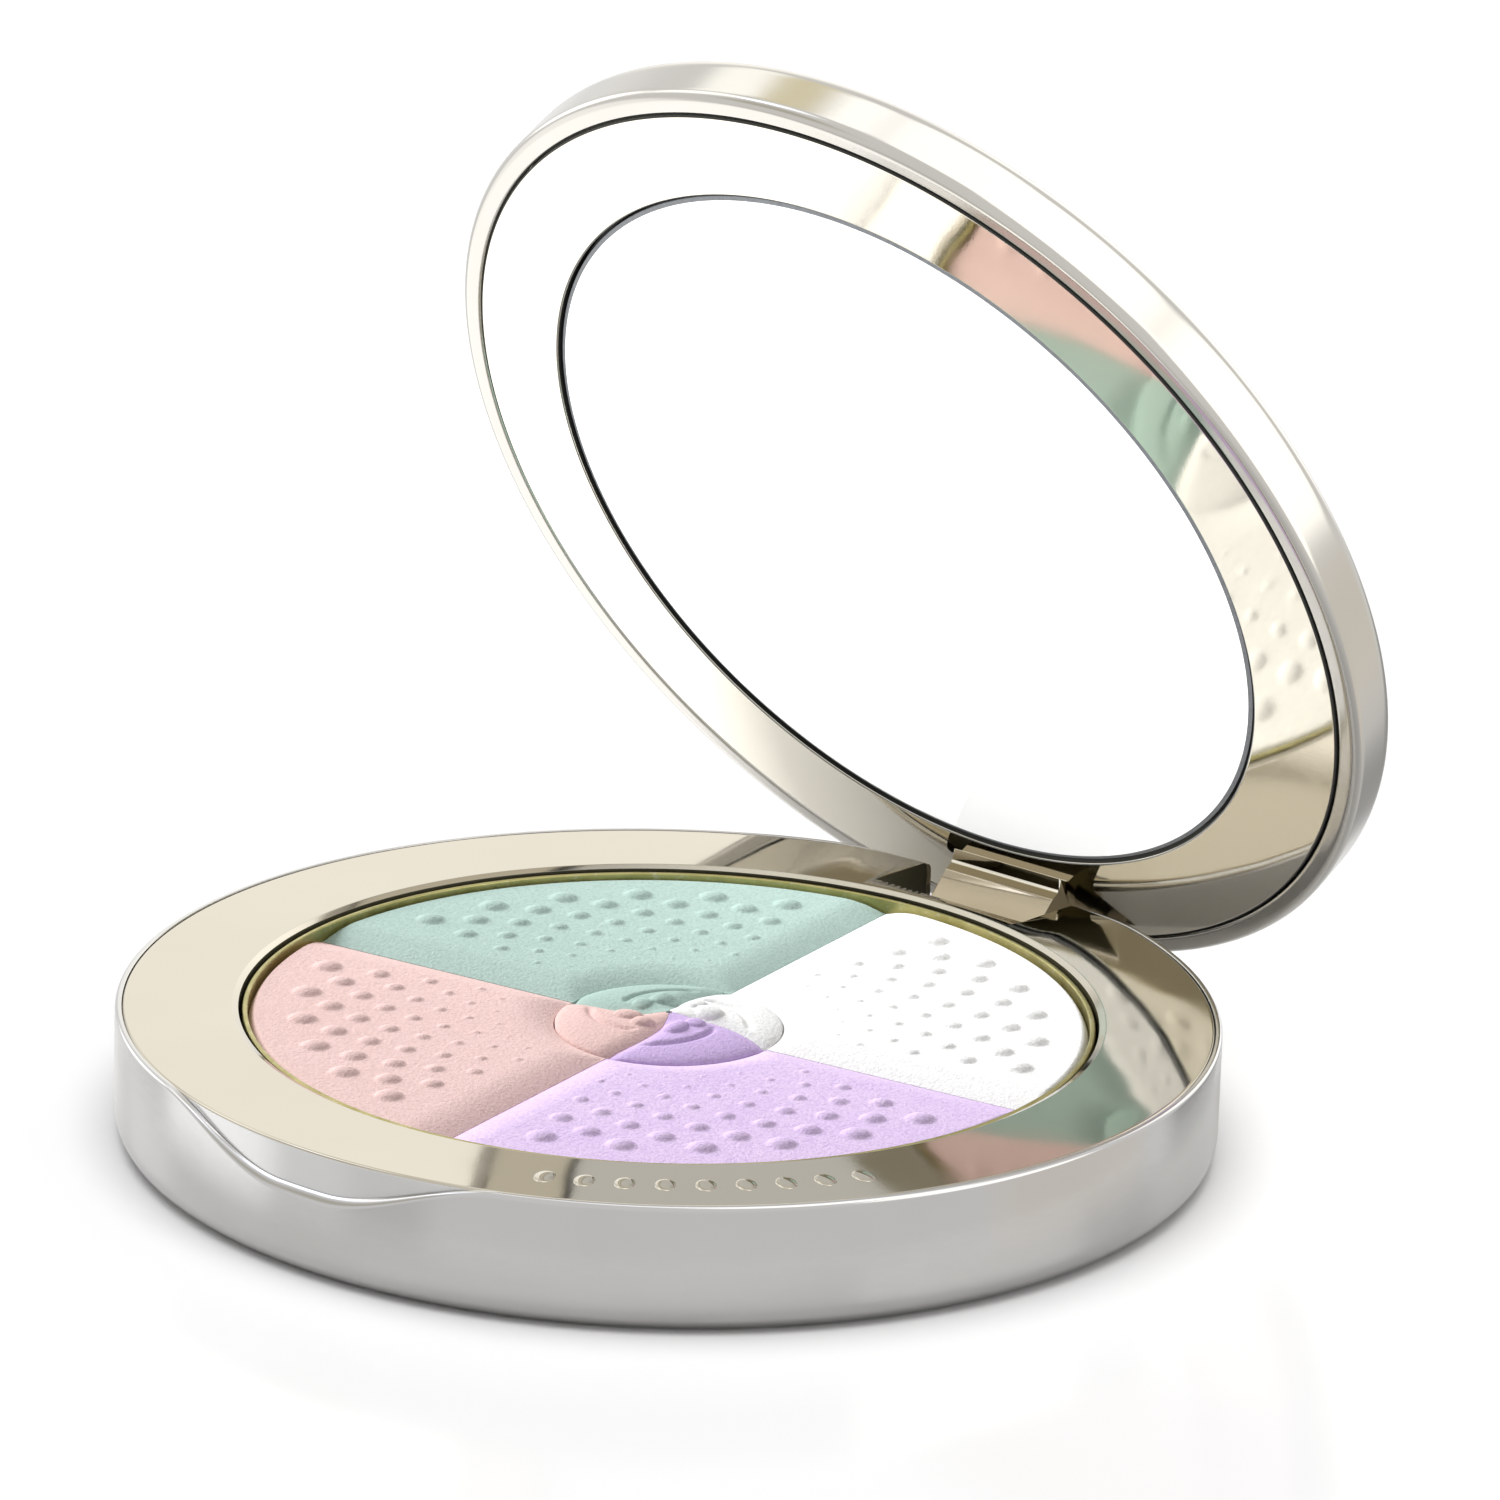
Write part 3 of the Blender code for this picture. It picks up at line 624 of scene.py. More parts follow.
def tray_path():
    """The tray's section: well, ring and skirts."""
    plate_under = BASE_H - TRAY_PLATE
    well_under = WELL_FLOOR - WELL_PLATE
    skirt_foot = TRAY_FOOT + 1.3 * MM
    step_z = BASE_H - STEP_DEPTH + 0.1 * MM
    inner_skirt = WELL_R + TRAY_WALL
    outer_skirt = TRAY_R - TRAY_WALL
    corners = [
        (0.0, WELL_FLOOR, 0.0),
        (WELL_R, WELL_FLOOR, 0.3 * MM),
        (WELL_R, TRAY_TOP - WELL_LIP_DROP, 0.05 * MM),
        (WELL_R + WELL_LIP, TRAY_TOP, 0.15 * MM),
        (RING_R, TRAY_TOP, 0.22 * MM),
        (RING_R, step_z, 0.05 * MM),
        (TRAY_R, step_z, 0.0),
        (TRAY_R, skirt_foot, 0.1 * MM),
        (outer_skirt, skirt_foot, 0.1 * MM),
        (outer_skirt, plate_under, 0.2 * MM),
        (inner_skirt, plate_under, 0.2 * MM),
        (inner_skirt, TRAY_FOOT, 0.1 * MM),
        (WELL_R, TRAY_FOOT, 0.1 * MM),
        (WELL_R, well_under, 0.1 * MM),
        (0.0, well_under, 0.0),
    ]
    return rounded(corners)


def make_boss():
    """The block behind the well that carries the hinge pins, rounded to the tray."""
    boss_low = FLOOR_T + 1.4 * MM
    boss_high = BASE_H - 0.6 * MM
    front = WELL_R + TRAY_WALL / 2
    outline = [(front, boss_low), (BODY_R, boss_low), (BODY_R, boss_high), (front, boss_high)]
    boss = prism("boss", outline, BOSS_HALF)
    disc_r = TRAY_R - 0.02 * MM
    disc = revolve("disc", [(0.0, 0.0), (disc_r, 0.0), (disc_r, BASE_H), (0.0, BASE_H)])
    combine(boss, disc, "INTERSECT")
    return boss


def make_tray():
    """The polished ring round the powder, its skirts and, each side of the slot, a hinge boss."""
    tray = revolve("base_ring_tray", tray_path(), drop=tray_drop)
    combine(tray, make_boss(), "UNION")
    combine(tray, slot_cutter(0.0), "DIFFERENCE")
    combine(tray, rod("bore", PIN_R + 0.02 * MM, -PIN_OUTER_X, PIN_OUTER_X), "DIFFERENCE")
    return smooth(tray)


def make_ring_beads():
    """A row of plain oval beads on the front of the ring, in place of any lettering."""
    middle_r = 35.6 * MM
    middle_z = TRAY_TOP - 0.02 * MM
    half_sizes = 1.15 * MM, 0.75 * MM, 0.16 * MM
    count = 9
    first_deg, last_deg = -64.0, -28.0
    outwards = Matrix.Translation((middle_r, 0.0, middle_z))
    flatten = Matrix.Diagonal((*half_sizes, 1.0))
    steps = 16
    tilts = [math.pi * k / steps for k in range(steps + 1)]
    ball = revolve("ball", [(math.sin(t), math.cos(t)) for t in tilts], segments=2 * steps)
    bm = bmesh.new()
    for i in range(count):
        angle = math.radians(first_deg + (last_deg - first_deg) * i / (count - 1))
        place = Matrix.Rotation(angle, 4, "Z") @ outwards @ flatten
        bead = ball.data.copy()
        bead.transform(place)
        bm.from_mesh(bead)
    bpy.data.objects.remove(ball, do_unlink=True)
    mesh = bpy.data.meshes.new("ring_beads")
    bm.to_mesh(mesh)
    bm.free()
    return smooth(link("ring_beads", mesh))


def make_label():
    """The blank label in the underside's recess."""
    corners = [
        (0.0, LABEL_T, 0.0),
        (LABEL_R, LABEL_T, 0.04 * MM),
        (LABEL_R, 0.0, 0.08 * MM),
        (0.0, 0.0, 0.0),
    ]
    return smooth(revolve("underside_label", rounded(corners)))


def make_pan():
    """The powder's shallow pan, whose wall stands a little above the powder."""
    inner_r = PAN_EDGE_R - PAN_EDGE_T
    floor_z = PAN_BOTTOM + PAN_FLOOR_T
    corners = [
        (0.0, floor_z, 0.0),
        (inner_r, floor_z, 0.0),
        (inner_r, PAN_EDGE_Z, 0.12 * MM),
        (PAN_EDGE_R, PAN_EDGE_Z, 0.18 * MM),
        (PAN_EDGE_R, PAN_BOTTOM, 0.5 * MM),
        (0.0, PAN_BOTTOM, 0.0),
    ]
    return smooth(revolve("gold_pan", rounded(corners)))


# Powder


def dots_of_quarter():
    """(radius, angle from the row's middle, dot radius) for each raised dot of a quarter."""
    pitch_deg = 12.3
    rows = 8
    outer_ring, ring_step = 26.5 * MM, 2.0 * MM
    largest, size_step = 1.08 * MM, 0.125 * MM
    dots = []
    for row in range(rows):
        ring = outer_ring - ring_step * row
        size = largest - size_step * row
        count = 6 if row % 2 == 0 else 5
        for k in range(count):
            dots.append((ring, pitch_deg * (k - (count - 1) / 2), size))
    return dots


def pillow(radius, to_side):
    """Height lost towards a quarter's borders: a bevel with a rounded top and soft corners."""
    distances = (to_side, radius - LOBE_R, OUTER_STEEPNESS * (POWDER_R - radius))
    total = sum(np.exp(-np.minimum(d, VALLEY_WIDTH * 2) / VALLEY_BLEND) for d in distances)
    to_border = np.clip(-VALLEY_BLEND * np.log(total), 0.0, VALLEY_WIDTH)
    return VALLEY_DEPTH * (1.0 - to_border / VALLEY_WIDTH) ** VALLEY_CURVE


def close_solid(name, x, y, z, bottom):
    """A solid under a grid of heights: rows run outwards, columns run round."""
    rows, columns = z.shape
    top = np.stack([x, y, z], axis=-1).reshape(-1, 3)
    index = np.arange(rows * columns).reshape(rows, columns)
    faces = np.stack([index[:-1, :-1], index[1:, :-1], index[1:, 1:], index[:-1, 1:]], axis=-1)
    faces = faces.reshape(-1, 4).tolist()
    border = np.concatenate([index[0, :-1], index[:-1, -1], index[-1, :0:-1], index[:0:-1, 0]])
    low = top[border].copy()
    low[:, 2] = bottom
    first = len(top)
    count = len(border)
    for k in range(count):
        n = (k + 1) % count
        faces.append((int(border[k]), int(border[n]), first + n, first + k))
    faces.append(tuple(range(first, first + count)))
    mesh = bpy.data.meshes.new(name)
    mesh.from_pydata(np.concatenate([top, low]).tolist(), [], faces)
    face_out(mesh)
    return smooth(link(name, mesh), 60.0)


def make_quarter(powder, diagonal):
    """One pressed quarter: a pillowed wedge with rows of domed dots growing outwards."""
    rows, columns = 150, 250
    middle = math.radians(diagonal + QUARTER_TURN)
    radius = np.linspace(LOBE_R + GAP, POWDER_R, rows)[:, None]
    half_span = math.pi / 4 - GAP / radius
    turn = np.linspace(-1.0, 1.0, columns)[None, :]
    angle = middle + turn * half_span
    x, y = radius * np.cos(angle), radius * np.sin(angle)
    z = POWDER_TOP - pillow(radius, radius * np.sin(half_span * (1.0 - np.abs(turn))))
    for ring, offset, size in dots_of_quarter():
        at = math.radians(diagonal + DOT_TURN + offset)
        away = np.hypot(x - ring * math.cos(at), y - ring * math.sin(at)) / size
        dome = np.sqrt(np.clip(1.0 - (DOT_SPREAD * away) ** 2, 0.0, 1.0)) - DOT_CUT
        z = z + DOT_HEIGHT * size * np.clip(dome, 0.0, 1.0)
    return close_solid("pressed_powder_" + powder, x, y, z, POWDER_BOTTOM)


def relief(radius, turn):
    """Carving on a lobe of the centre dome: a swept crescent groove and two small scallops."""
    groove_r = LOBE_R * (0.60 - 0.16 * turn)
    groove_depth = 0.26 * MM
    groove_width = 0.30 * MM
    window = smooth_step((0.80 - np.abs(turn + 0.1)) / 0.25)
    carved = groove_depth * window * np.exp(-(((radius - groove_r) / groove_width) ** 2))
    scallops = (0.36 * LOBE_R, -0.45, 1.0 * MM), (0.33 * LOBE_R, 0.35, 0.8 * MM)
    height_share = 0.35  # of a scallop's radius
    raised = 0.0
    for at_r, at_turn, size in scallops:
        across = (turn - at_turn) * radius * math.pi / 4
        away = np.hypot(radius - at_r, across) / size
        raised = raised + height_share * size * np.sqrt(np.clip(1.0 - away**2, 0.0, 1.0))
    return raised - carved


def make_lobe(powder, diagonal):
    """One quarter of the centre dome, its borders swept like a pinwheel."""
    middle = math.radians(diagonal + QUARTER_TURN)
    rows, columns = 90, 90
    tip = 0.25 * MM
    outer = LOBE_R - GAP
    half_gap = 0.02 * MM
    seam_depth, seam_width = 0.42 * MM, 1.6 * MM
    seam_start = 2.5 * MM
    radius = np.linspace(tip, outer, rows)[:, None]
    half_span = math.pi / 4 - half_gap / radius
    turn = np.linspace(-1.0, 1.0, columns)[None, :]
    sweep = math.radians(28.0) * (1.0 - radius / outer) ** 1.2
    angle = middle + turn * half_span + sweep
    x, y = radius * np.cos(angle), radius * np.sin(angle)
    edge = POWDER_TOP - VALLEY_DEPTH
    rise = LOBE_TOP - edge - 0.15 * MM  # the scallops reach the rest
    dome = np.sqrt(np.clip(1.0 - (radius / LOBE_R) ** 2, 0.0, 1.0))
    side = radius * np.sin(half_span * (1.0 - np.abs(turn)))
    seam = seam_depth * np.clip(1.0 - side / seam_width, 0.0, 1.0) ** 2
    seam = seam * smooth_step(radius / seam_start)
    z = edge + rise * dome - seam + relief(radius, turn)
    return close_solid("centre_relief_" + powder, x, y, z, POWDER_BOTTOM)


# Lid, drawn closed


def open_lid(obj):
    """Turns a piece from the closed lid to the lid at rest."""
    obj.data.transform(TO_REST)
    return obj


def dome_height(radius, crown_z):
    """The height of the lid's shallow dome, outside or inside."""
    fall = 0.5 * MM
    return crown_z - fall * (radius / BODY_R) ** 2


def make_lid_shell():
    """Domed cover, upright wall and rolled rim, with room for the lug."""
    inner_r = BODY_R - WALL
    under_top = LID_TOP - WALL
    dome = [(r, dome_height(r, LID_TOP)) for r in np.linspace(0.0, BODY_R - 3.0 * MM, 16)]
    edge_z = dome_height(BODY_R, LID_TOP)
    corners = [
        (dome[-1][0], dome[-1][1], 0.0),
        (BODY_R, edge_z, 1.2 * MM),
        (BODY_R, LID_FACE, 0.75 * MM),
        (RIM_INNER_R, LID_FACE + 0.02 * MM, 0.35 * MM),
        (RIM_INNER_R, LID_FACE + 1.0 * MM, 0.0),
        (inner_r, LID_FACE + 1.6 * MM, 0.2 * MM),
        (inner_r, edge_z - WALL, 0.6 * MM),
        (inner_r - 2.0 * MM, dome_height(inner_r - 2.0 * MM, under_top), 0.0),
    ]
    inside = [(r, dome_height(r, under_top)) for r in np.linspace(inner_r - 4.0 * MM, 0.0, 10)]
    shell = revolve("lid_cover_shell", dome[:-1] + rounded(corners) + inside)
    half = LUG_HIGH.x + 0.2 * MM
    front_y, back_y = HINGE.y - 0.8 * MM, LUG_HIGH.y + 0.3 * MM
    low_z, high_z = LID_FACE - 1.0 * MM, LID_FACE + 1.8 * MM
    room = [(front_y, low_z), (back_y, low_z), (back_y, high_z), (front_y, high_z)]
    combine(shell, prism("lug_room", room, half), "DIFFERENCE")
    return open_lid(smooth(shell))


def lug_outline():
    """The lug from the side: ramp, bright ridge, front face, barrel and back."""
    inside_z = LID_FACE + 0.8 * MM
    ridge_y = LUG_LOW.y
    ramp_y = ridge_y - 0.8 * MM
    ridge_z = LID_FACE - 0.55 * MM
    barrel_r = HINGE.z - LUG_LOW.z
    front = [
        (ramp_y, inside_z, 0.0),
        (ramp_y, LID_FACE - 0.02 * MM, 0.0),
        (ridge_y, ridge_z, 0.22 * MM),
        (ridge_y + 0.05 * MM, ridge_z - 0.85 * MM, 0.3 * MM),
    ]
    barrel = []
    steps = 30
    start_deg, span_deg = 165.0, 210.0
    for k in range(steps + 1):
        angle = math.radians(start_deg + span_deg * k / steps)
        y = HINGE.y + barrel_r * math.cos(angle)
        z = HINGE.z + barrel_r * math.sin(angle)
        barrel.append((y, z, 0.0))
    back = [(LUG_HIGH.y, LID_FACE - 1.2 * MM, 0.0), (LUG_HIGH.y, inside_z, 0.0)]
    return rounded(front + barrel + back, closed=True)


def make_mirror_frame():
    """The flat ring round the mirror, with the lug and its two bores for the sleeves."""
    pocket_z = MIRROR_BACK + 0.3 * MM
    lug_bevel = 0.12 * MM
    corners = [
        (0.0, FRAME_BACK, 0.0),
        (FRAME_R, FRAME_BACK, 0.2 * MM),
        (FRAME_R, LID_FACE, 0.16 * MM),
        (MIRROR_POCKET_R, LID_FACE, 0.16 * MM),
        (MIRROR_POCKET_R, pocket_z, 0.0),
        (0.0, pocket_z, 0.0),
    ]
    ring = revolve("champagne_mirror_frame", rounded(corners))
    combine(ring, prism("lug", lug_outline(), LUG_HIGH.x, lug_bevel), "UNION")
    sleeve_r = 1.32 * MM
    for sign in (-1, 1):
        ends = sorted((sign * PIN_INNER_X, sign * (LUG_HIGH.x + 1.0 * MM)))
        combine(ring, rod("bore", sleeve_r, *ends), "DIFFERENCE")
    return open_lid(smooth(ring))


def make_mirror():
    """The mirror, bevelled along its edge."""
    bevel = 0.32 * MM
    edge_r = MIRROR_POCKET_R - MIRROR_GAP
    face_r = edge_r - bevel
    corners = [
        (0.0, MIRROR_BACK, 0.0),
        (edge_r, MIRROR_BACK, 0.05 * MM),
        (edge_r, MIRROR_FACE + 0.1 * MM, 0.02 * MM),
        (face_r, MIRROR_FACE, 0.0),
        (0.0, MIRROR_FACE, 0.0),
    ]
    path = rounded(corners)
    face = path.index((face_r, MIRROR_FACE))
    path.insert(face + 1, (face_r - 0.02 * MM, MIRROR_FACE))  # keeps the face flat when shaded
    return open_lid(smooth(revolve("bevelled_mirror", path), 8.0))


# Assembly


def place_piece(obj, body, node, material):
    """Paints a piece, ties it to its body and hides the CAD node it stands for, if any."""
    paint(obj, material)
    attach(obj, body)
    if node:
        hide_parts(node)


def build_base():
    """The base's metal, label and pan."""
    silver = satin_silver("satin_silver_base", (0.525, 0.517, 0.507))
    # Painted light: a lighter, partly dull copy of the base silver, on the tray's outer skirt that
    # shows in the finger dip.
    dip_lit_silver = satin_silver("satin_silver_dip_painted_light", (0.66, 0.655, 0.645), 0.55)
    # Painted shade: the ring and its beads have the mirror frame's champagne, painted darker.
    champagne = polished_champagne("polished_champagne_ring_painted_shade", (0.50, 0.462, 0.385))
    # Painted shade: a near-black colour on the well's wall and on the slot's walls, where shade
    # falls.
    well_slot_painted_shade = painted_gap_shade("well_slot_painted_shade", (0.040, 0.036, 0.018))
    place_piece(make_base_shell(), "base", "base_shell", silver)
    tray = make_tray()
    place_piece(tray, "base", "base_tray", champagne)
    skirt_r = RING_R - 0.01 * MM
    well_r = WELL_R + 0.02 * MM
    slot_low_r, slot_high_r = WELL_R + 0.5 * MM, RING_R - 0.3 * MM

    def on_skirt(radius, height, slope):
        return radius > skirt_r and slope < 0.6

    def in_well(radius, height, slope):
        return radius < well_r and height > WELL_FLOOR

    def in_slot(radius, height, slope):
        return slot_low_r < radius < slot_high_r and slope < 0.9

    # Painted light on the outer skirt
    second_finish(tray, dip_lit_silver, on_skirt)
    # Painted shade in the well and in the slot
    second_finish(tray, well_slot_painted_shade, in_well)
    second_finish(tray, well_slot_painted_shade, in_slot)
    place_piece(make_ring_beads(), "base", None, champagne)
    place_piece(make_label(), "base", "base_label", label_film())
    place_piece(make_pan(), "base", "powder_pan", pan_metal())


def build_lid_shell():
    """The lid's outer shell, whose dome is a darker satin than its rim."""
    warm_silver = satin_silver("satin_silver_lid", (0.56, 0.54, 0.50))
    dome_silver = satin_silver("satin_silver_dome", (0.31, 0.302, 0.288))
    lid_shell = make_lid_shell()
    place_piece(lid_shell, "lid", "lid_shell", warm_silver)
    dome_z = LID_TOP - 0.6 * MM

    def on_dome(radius, height, slope):
        return height > dome_z and slope > 0.995

    second_finish(lid_shell, dome_silver, on_dome, lid=True)


def build_mirror_frame():
    """The mirror frame, with painted shade in its pocket and round its edge, and its lug in its
    champagne painted darker, also painted shade.
    """
    champagne = polished_champagne("polished_champagne_frame", (0.84, 0.795, 0.69))
    # Painted shade: the lug's champagne is the frame's, painted darker.
    lug_shaded_champagne = polished_champagne("champagne_lug_painted_shade", (0.40, 0.34, 0.24))
    # Painted shade: near-black in the pocket and round the frame's outer edge, by the gap to the
    # shell.
    seam = painted_gap_shade("mirror_frame_gaps_painted_shade", (0.025, 0.025, 0.022))
    # Painted shade: a grey line round the rim of the pocket.
    lip_shade = painted_gap_shade("mirror_lip_painted_shade", (0.26, 0.26, 0.245))
    mirror_frame = make_mirror_frame()
    place_piece(mirror_frame, "lid", "mirror_frame", champagne)
    pocket_low_z, pocket_high_z = LID_FACE + 0.05 * MM, FRAME_BACK - 0.1 * MM
    pocket_r = MIRROR_POCKET_R + 0.02 * MM
    lip_r = MIRROR_POCKET_R + 0.17 * MM
    rim_r = FRAME_R - 0.17 * MM
    ridge_z = LID_FACE - 0.85 * MM
    ramp_z = LID_FACE - 0.03 * MM
    flat = 0.99

    def in_pocket(radius, height, slope):
        return radius < pocket_r and pocket_low_z < height < pocket_high_z

    def on_edge(radius, height, slope):
        return radius > rim_r and slope < flat

    def on_lip(radius, height, slope):
        return radius < lip_r and LID_FACE <= height < pocket_low_z and slope < flat

    def on_lug(radius, height, slope):
        return height < ridge_z or (height < ramp_z and slope > 0.8)

    # Painted shade in the pocket, round the edge, round the pocket's rim and on the lug
    second_finish(mirror_frame, seam, in_pocket, lid=True)
    second_finish(mirror_frame, seam, on_edge, lid=True)
    second_finish(mirror_frame, lip_shade, on_lip, lid=True)
    second_finish(mirror_frame, lug_shaded_champagne, on_lug, lid=True)


def build_mirror():
    """The mirror, its bevel painted dark: a line of painted shade."""
    # Painted shade on the bevel.
    bevel_shade = painted_gap_shade("mirror_bevel_painted_shade", (0.10, 0.105, 0.11))
    mirror = make_mirror()
    place_piece(mirror, "lid", "mirror_glass", mirror_painted_white())

    def off_face(radius, height, slope):
        return slope < 0.99

    second_finish(mirror, bevel_shade, off_face, lid=True)


def build_powders():
    """The four pressed quarters and the four lobes of the centre relief."""
    colours = {
        "mint": ((0.47, 0.615, 0.57), (0.42, 0.565, 0.515)),
        "white": ((0.96, 0.96, 0.955), (0.94, 0.94, 0.93)),
        "lilac": ((0.79, 0.63, 0.86), (0.66, 0.50, 0.82)),
        "pink": ((0.83, 0.61, 0.585), (0.79, 0.56, 0.53)),
    }
    for powder, diagonal in QUARTERS.items():
        slot = "powder_" + powder
        colour, deep = colours[powder]
        material = pressed_powder(slot + "_pressed", colour, deep)
        place_piece(make_quarter(powder, diagonal), "base", slot, material)
        material = pressed_powder(slot + "_relief", deep, scaled(deep, 0.92))
        place_piece(make_lobe(powder, diagonal), "base", "centre_lobe_" + powder, material)


def paint_hidden():
    """Materials for the CAD pieces that stay as they are."""
    kept = {
        "hinge_pin": (steel(), "steel"),
        "hinge_sleeve": (nylon(), "nylon"),
        "base_magnet": (magnet_plating(), "magnet"),
        "lid_magnet": (magnet_plating(), "magnet"),
        "pan_adhesive": (adhesive_pad(), "adhesive"),
        "mirror_adhesive": (adhesive_pad(), "adhesive"),
    }
    for name, obj in frame["nodes"].items():
        for stem, (material, slot) in kept.items():
            if name.startswith(stem):
                paint(obj, material)


# Stage, camera and light


def floor_disc(name, radius, height, fade=None):
    """A pale round sheet of the stage, which grows clear from the radius fade outwards."""
    bm = bmesh.new()
    place = Matrix.Translation((0.0, 0.0, height))
    bmesh.ops.create_circle(bm, cap_ends=True, segments=96, radius=radius, matrix=place)
    mesh = bpy.data.meshes.new(name)
    bm.to_mesh(mesh)
    bm.free()
    floor = link(name, mesh)
    n = Nodes(name + "_paint")
    speck = n.noise(20.0 * MM, 3.0)
    colour = n.mix(speck, (0.90, 0.90, 0.90), (0.905, 0.905, 0.905))
    n.finish(colour, n.remap(speck, 0.3, 0.7, 0.12, 0.14), specular=0.35)
    if fade:
        reach = n.add("VectorMath", operation="LENGTH")
        n.plug(n.place(), reach.inputs[0])
        kept = n.remap(reach.outputs["Value"], fade, radius, 1.0, 0.0)
        n.plug(kept, n.shader.inputs["Alpha"])
    floor.data.materials.append(n.owner)
    return floor


def make_floors():
    """The floor, and the part of it near the object that the metal reflects.

    Further out, the metal reflects the studio's lower half instead.
    """
    floor = floor_disc("studio_floor", 3.0, 0.0)
    floor.visible_glossy = False
    near = floor_disc("near_floor", 54.0 * MM, 0.02 * MM, fade=46.0 * MM)
    near.visible_camera = False
    near.visible_diffuse = False
    near.visible_shadow = False
    return floor, near


def direction(azimuth_deg, elevation_deg):
    """From the object towards a place: azimuth 0 is in front, 90 is its right side."""
    a, e = math.radians(azimuth_deg), math.radians(elevation_deg)
    return Vector((math.sin(a) * math.cos(e), -math.cos(a) * math.cos(e), math.sin(e)))


def make_camera():
    """The photograph's view."""
    distance = 0.665
    shift_right, shift_up = 5.27 * MM, 23.94 * MM
    back = direction(38.91, 18.39)
    right = Vector((0.0, 0.0, 1.0)).cross(back).normalized()
    up = back.cross(right)
    aim = Vector((0.0, 0.0, 4.0 * MM)) + right * shift_right + up * shift_up
    roll = math.radians(1.74)
    x_axis = right * math.cos(roll) + up * math.sin(roll)
    y_axis = up * math.cos(roll) - right * math.sin(roll)
    data = bpy.data.cameras.new("camera")
    data.lens = 220.2
    data.sensor_width = 36.0
    data.clip_start = 0.01
    camera = link("camera", data)
    rotation = Matrix((x_axis, y_axis, back)).transposed().to_4x4()
    camera.matrix_world = Matrix.Translation(aim + back * distance) @ rotation
    bpy.context.scene.camera = camera


def group(name, objects):
    collection = bpy.data.collections.new(name)
    for obj in objects:
        collection.objects.link(obj)
    return collection


def soft_light(name, azimuth, elevation, distance, size, power, lit, shading=None):
    """A round softbox that lights only some objects, with shadows from all or some of them."""
    data = bpy.data.lights.new(name, "AREA")
    data.shape = "DISK"
    data.size = size
    data.energy = power
    light = link(name, data)
    place = direction(azimuth, elevation) * distance
    light.location = place
    light.rotation_mode = "QUATERNION"
    light.rotation_quaternion = place.to_track_quat("Z", "Y")
    light.visible_camera = False
    light.visible_glossy = False
    light.light_linking.receiver_collection = group(name + "_lit", lit)
    if shading:
        light.light_linking.blocker_collection = group(name + "_shading", shading)


# Bright and dark round panels that the metal reflects: azimuth, elevation, half width and
# width of the soft edge in degrees, colour. A later panel covers the ones before it.
PANELS = (
    (-175.0, 20.0, 22.0, 8.0, (1.9, 1.9, 1.86)),
    (108.0, 16.0, 27.0, 4.0, (2.1, 2.08, 2.03)),
    (100.0, 62.0, 20.0, 4.0, (2.1, 2.08, 2.05)),
    (-140.0, 18.0, 15.0, 10.0, (1.48, 1.46, 1.40)),
    (-96.0, 12.0, 14.0, 4.0, (2.2, 2.2, 2.2)),
    (-80.0, 36.0, 12.0, 6.0, (2.0, 2.0, 2.0)),
    (-113.0, 41.0, 7.0, 3.0, (1.8, 1.8, 1.75)),
    (-113.0, 54.0, 6.0, 3.0, (1.1, 1.0, 0.7)),
    (-116.0, 67.0, 6.0, 3.0, (2.0, 2.0, 2.0)),
    (180.0, 80.0, 14.0, 3.0, (2.0, 2.0, 2.0)),
    (-69.0, 53.0, 9.0, 4.0, (2.1, 2.15, 2.3)),
    (-66.0, 48.0, 5.0, 2.0, (3.0, 3.2, 3.8)),
    (-38.0, 26.0, 12.0, 8.0, (0.70, 0.68, 0.60)),
    (-73.0, -51.0, 28.0, 8.0, (1.8, 1.8, 1.8)),
    (-24.0, -45.0, 13.0, 6.0, (1.9, 1.88, 1.84)),
    (-20.0, -22.0, 9.0, 6.0, (0.80, 0.80, 0.80)),
    (-68.0, -21.0, 16.0, 8.0, (1.55, 1.55, 1.55)),
    (134.0, -25.0, 20.0, 8.0, (0.96, 0.92, 0.86)),
    (-176.0, -21.0, 14.0, 8.0, (0.44, 0.44, 0.44)),
)
AMBIENT = 0.32  # what dull surfaces get from all round


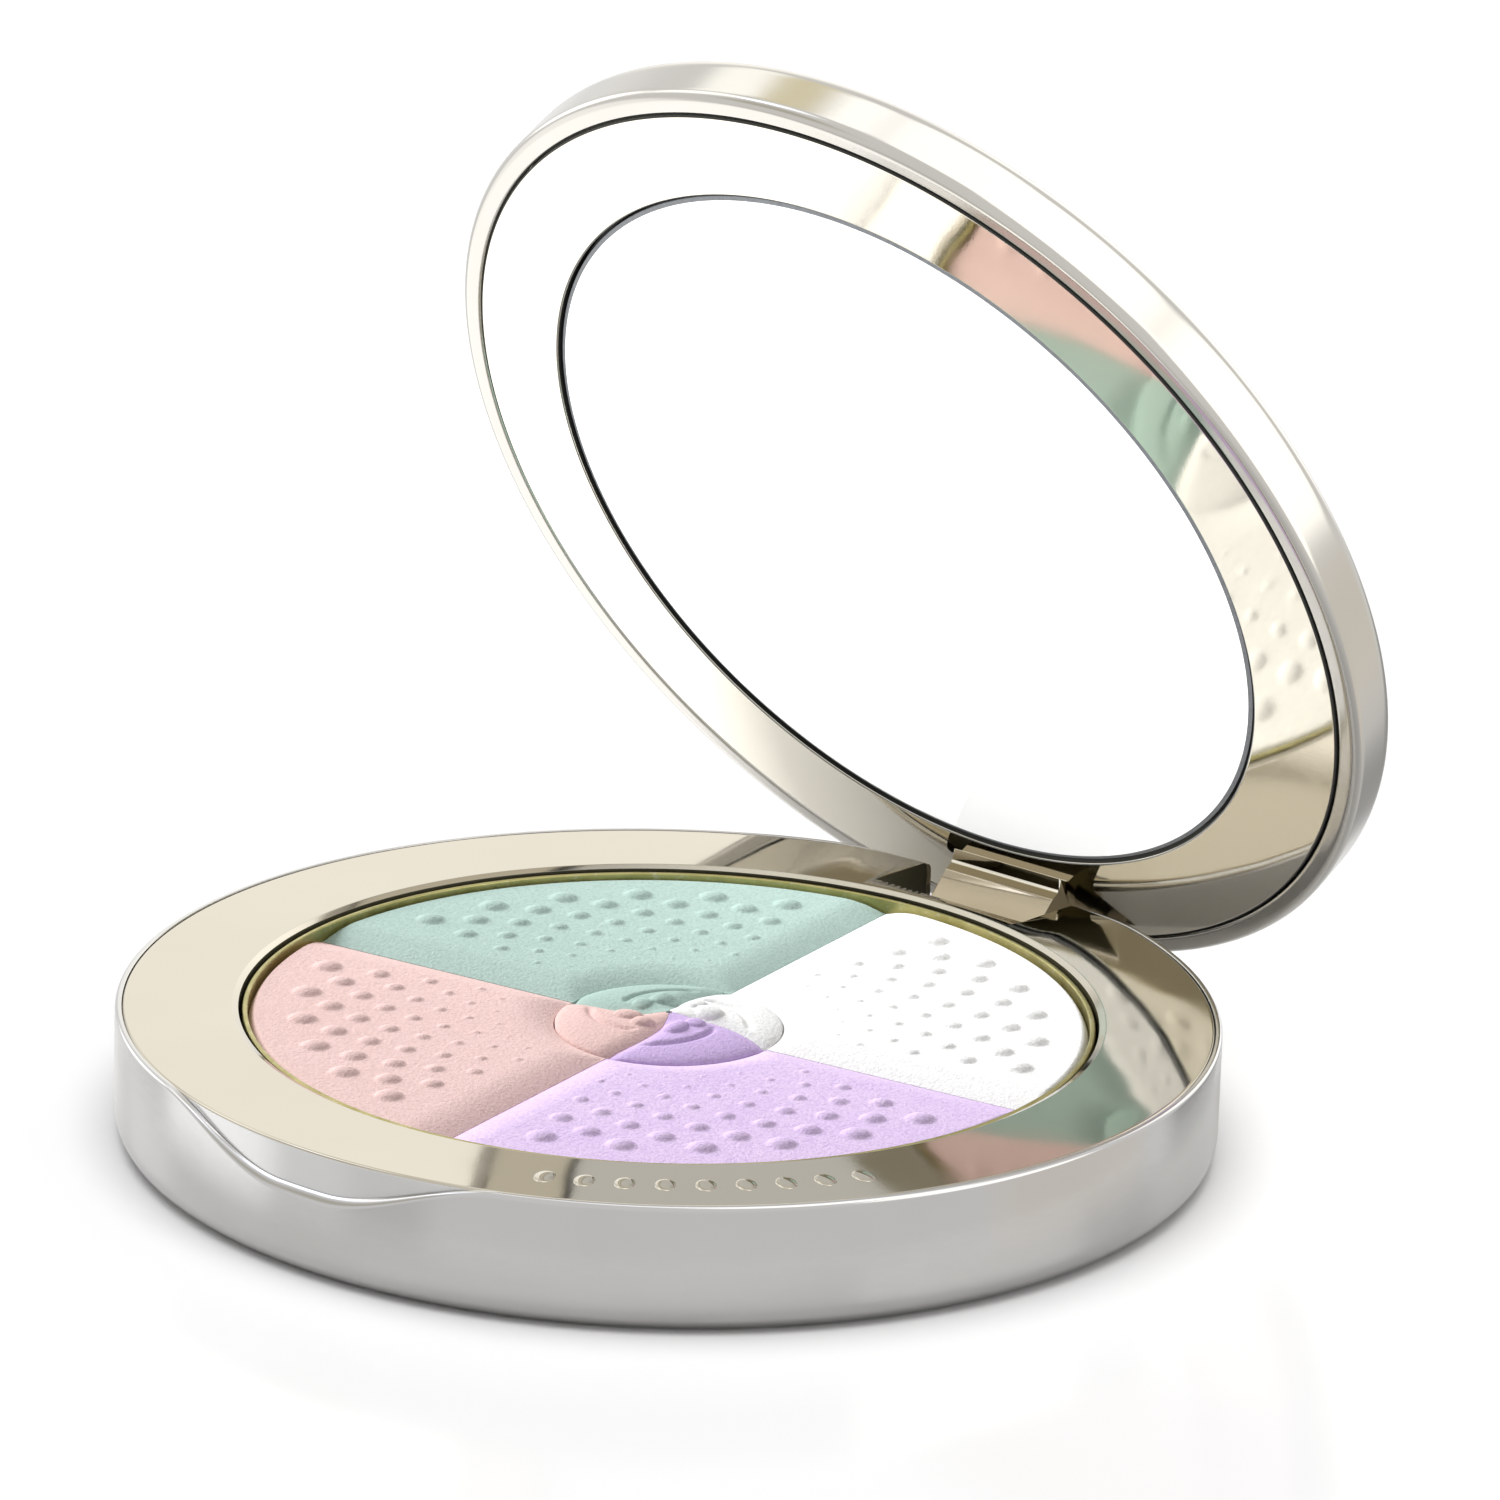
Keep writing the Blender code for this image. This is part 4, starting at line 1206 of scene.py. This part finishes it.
def make_world():
    """What the metal reflects all round; dull surfaces get a plain ambient light instead."""
    n = Nodes("studio", world=True)
    toward = n.add("TexCoord").outputs["Generated"]
    split = n.add("SeparateXYZ")
    n.plug(toward, split.inputs[0])
    up_to_horizon = n.remap(split.outputs["Z"], -1.0, -0.2, 0.5, 1.05)
    overhead = n.remap(split.outputs["Z"], 0.3, 0.6, 0.0, 0.35)
    level = n.math("ADD", up_to_horizon, overhead)
    seen = n.mix(level, (0.0, 0.0, 0.0), (1.0, 1.0, 1.0))
    for azimuth, elevation, half, edge, colour in PANELS:
        dot = n.add("VectorMath", operation="DOT_PRODUCT")
        n.plug(toward, dot.inputs[0])
        dot.inputs[1].default_value = direction(azimuth, elevation)
        outer, inner = (math.cos(math.radians(half + side * edge)) for side in (0.5, -0.5))
        seen = n.mix(n.remap(dot.outputs["Value"], outer, inner, 0.0, 1.0), seen, colour)
    ray = n.add("LightPath")
    seen = n.mix(ray.outputs["Is Diffuse Ray"], seen, (AMBIENT,) * 3)
    seen = n.mix(ray.outputs["Is Camera Ray"], seen, (1.0, 1.0, 1.0))
    n.plug(seen, n.shader.inputs["Color"])
    bpy.context.scene.world = n.owner


def make_studio():
    """Floor, world and the four softboxes."""
    floor, near = make_floors()
    make_world()
    meshes = [o for o in bpy.context.scene.objects if o.type == "MESH"]
    pieces = [o for o in meshes if o not in (floor, near)]
    mirror = [o for o in pieces if o.name == "bevelled_mirror"]
    dull = [o for o in pieces if o not in mirror]
    base_top = BASE_H + 1.0 * MM
    base = [o for o in pieces if max(v.co.z for v in o.data.vertices) < base_top]
    soft_light("key_softbox", -95.0, 29.0, 1.2, 0.8, 25.0, dull, base)
    soft_light("mirror_softbox", -5.0, 20.0, 1.0, 0.6, 23.0, mirror)
    soft_light("floor_softbox", 0.0, 85.0, 1.5, 1.6, 21.5, [floor], base)
    soft_light("near_floor_softbox", -60.0, 75.0, 1.2, 1.8, 14.0, [near], pieces)
    bpy.context.scene.view_settings.view_transform = "Standard"


build_base()
build_lid_shell()
build_mirror_frame()
build_mirror()
build_powders()
paint_hidden()
make_camera()
make_studio()
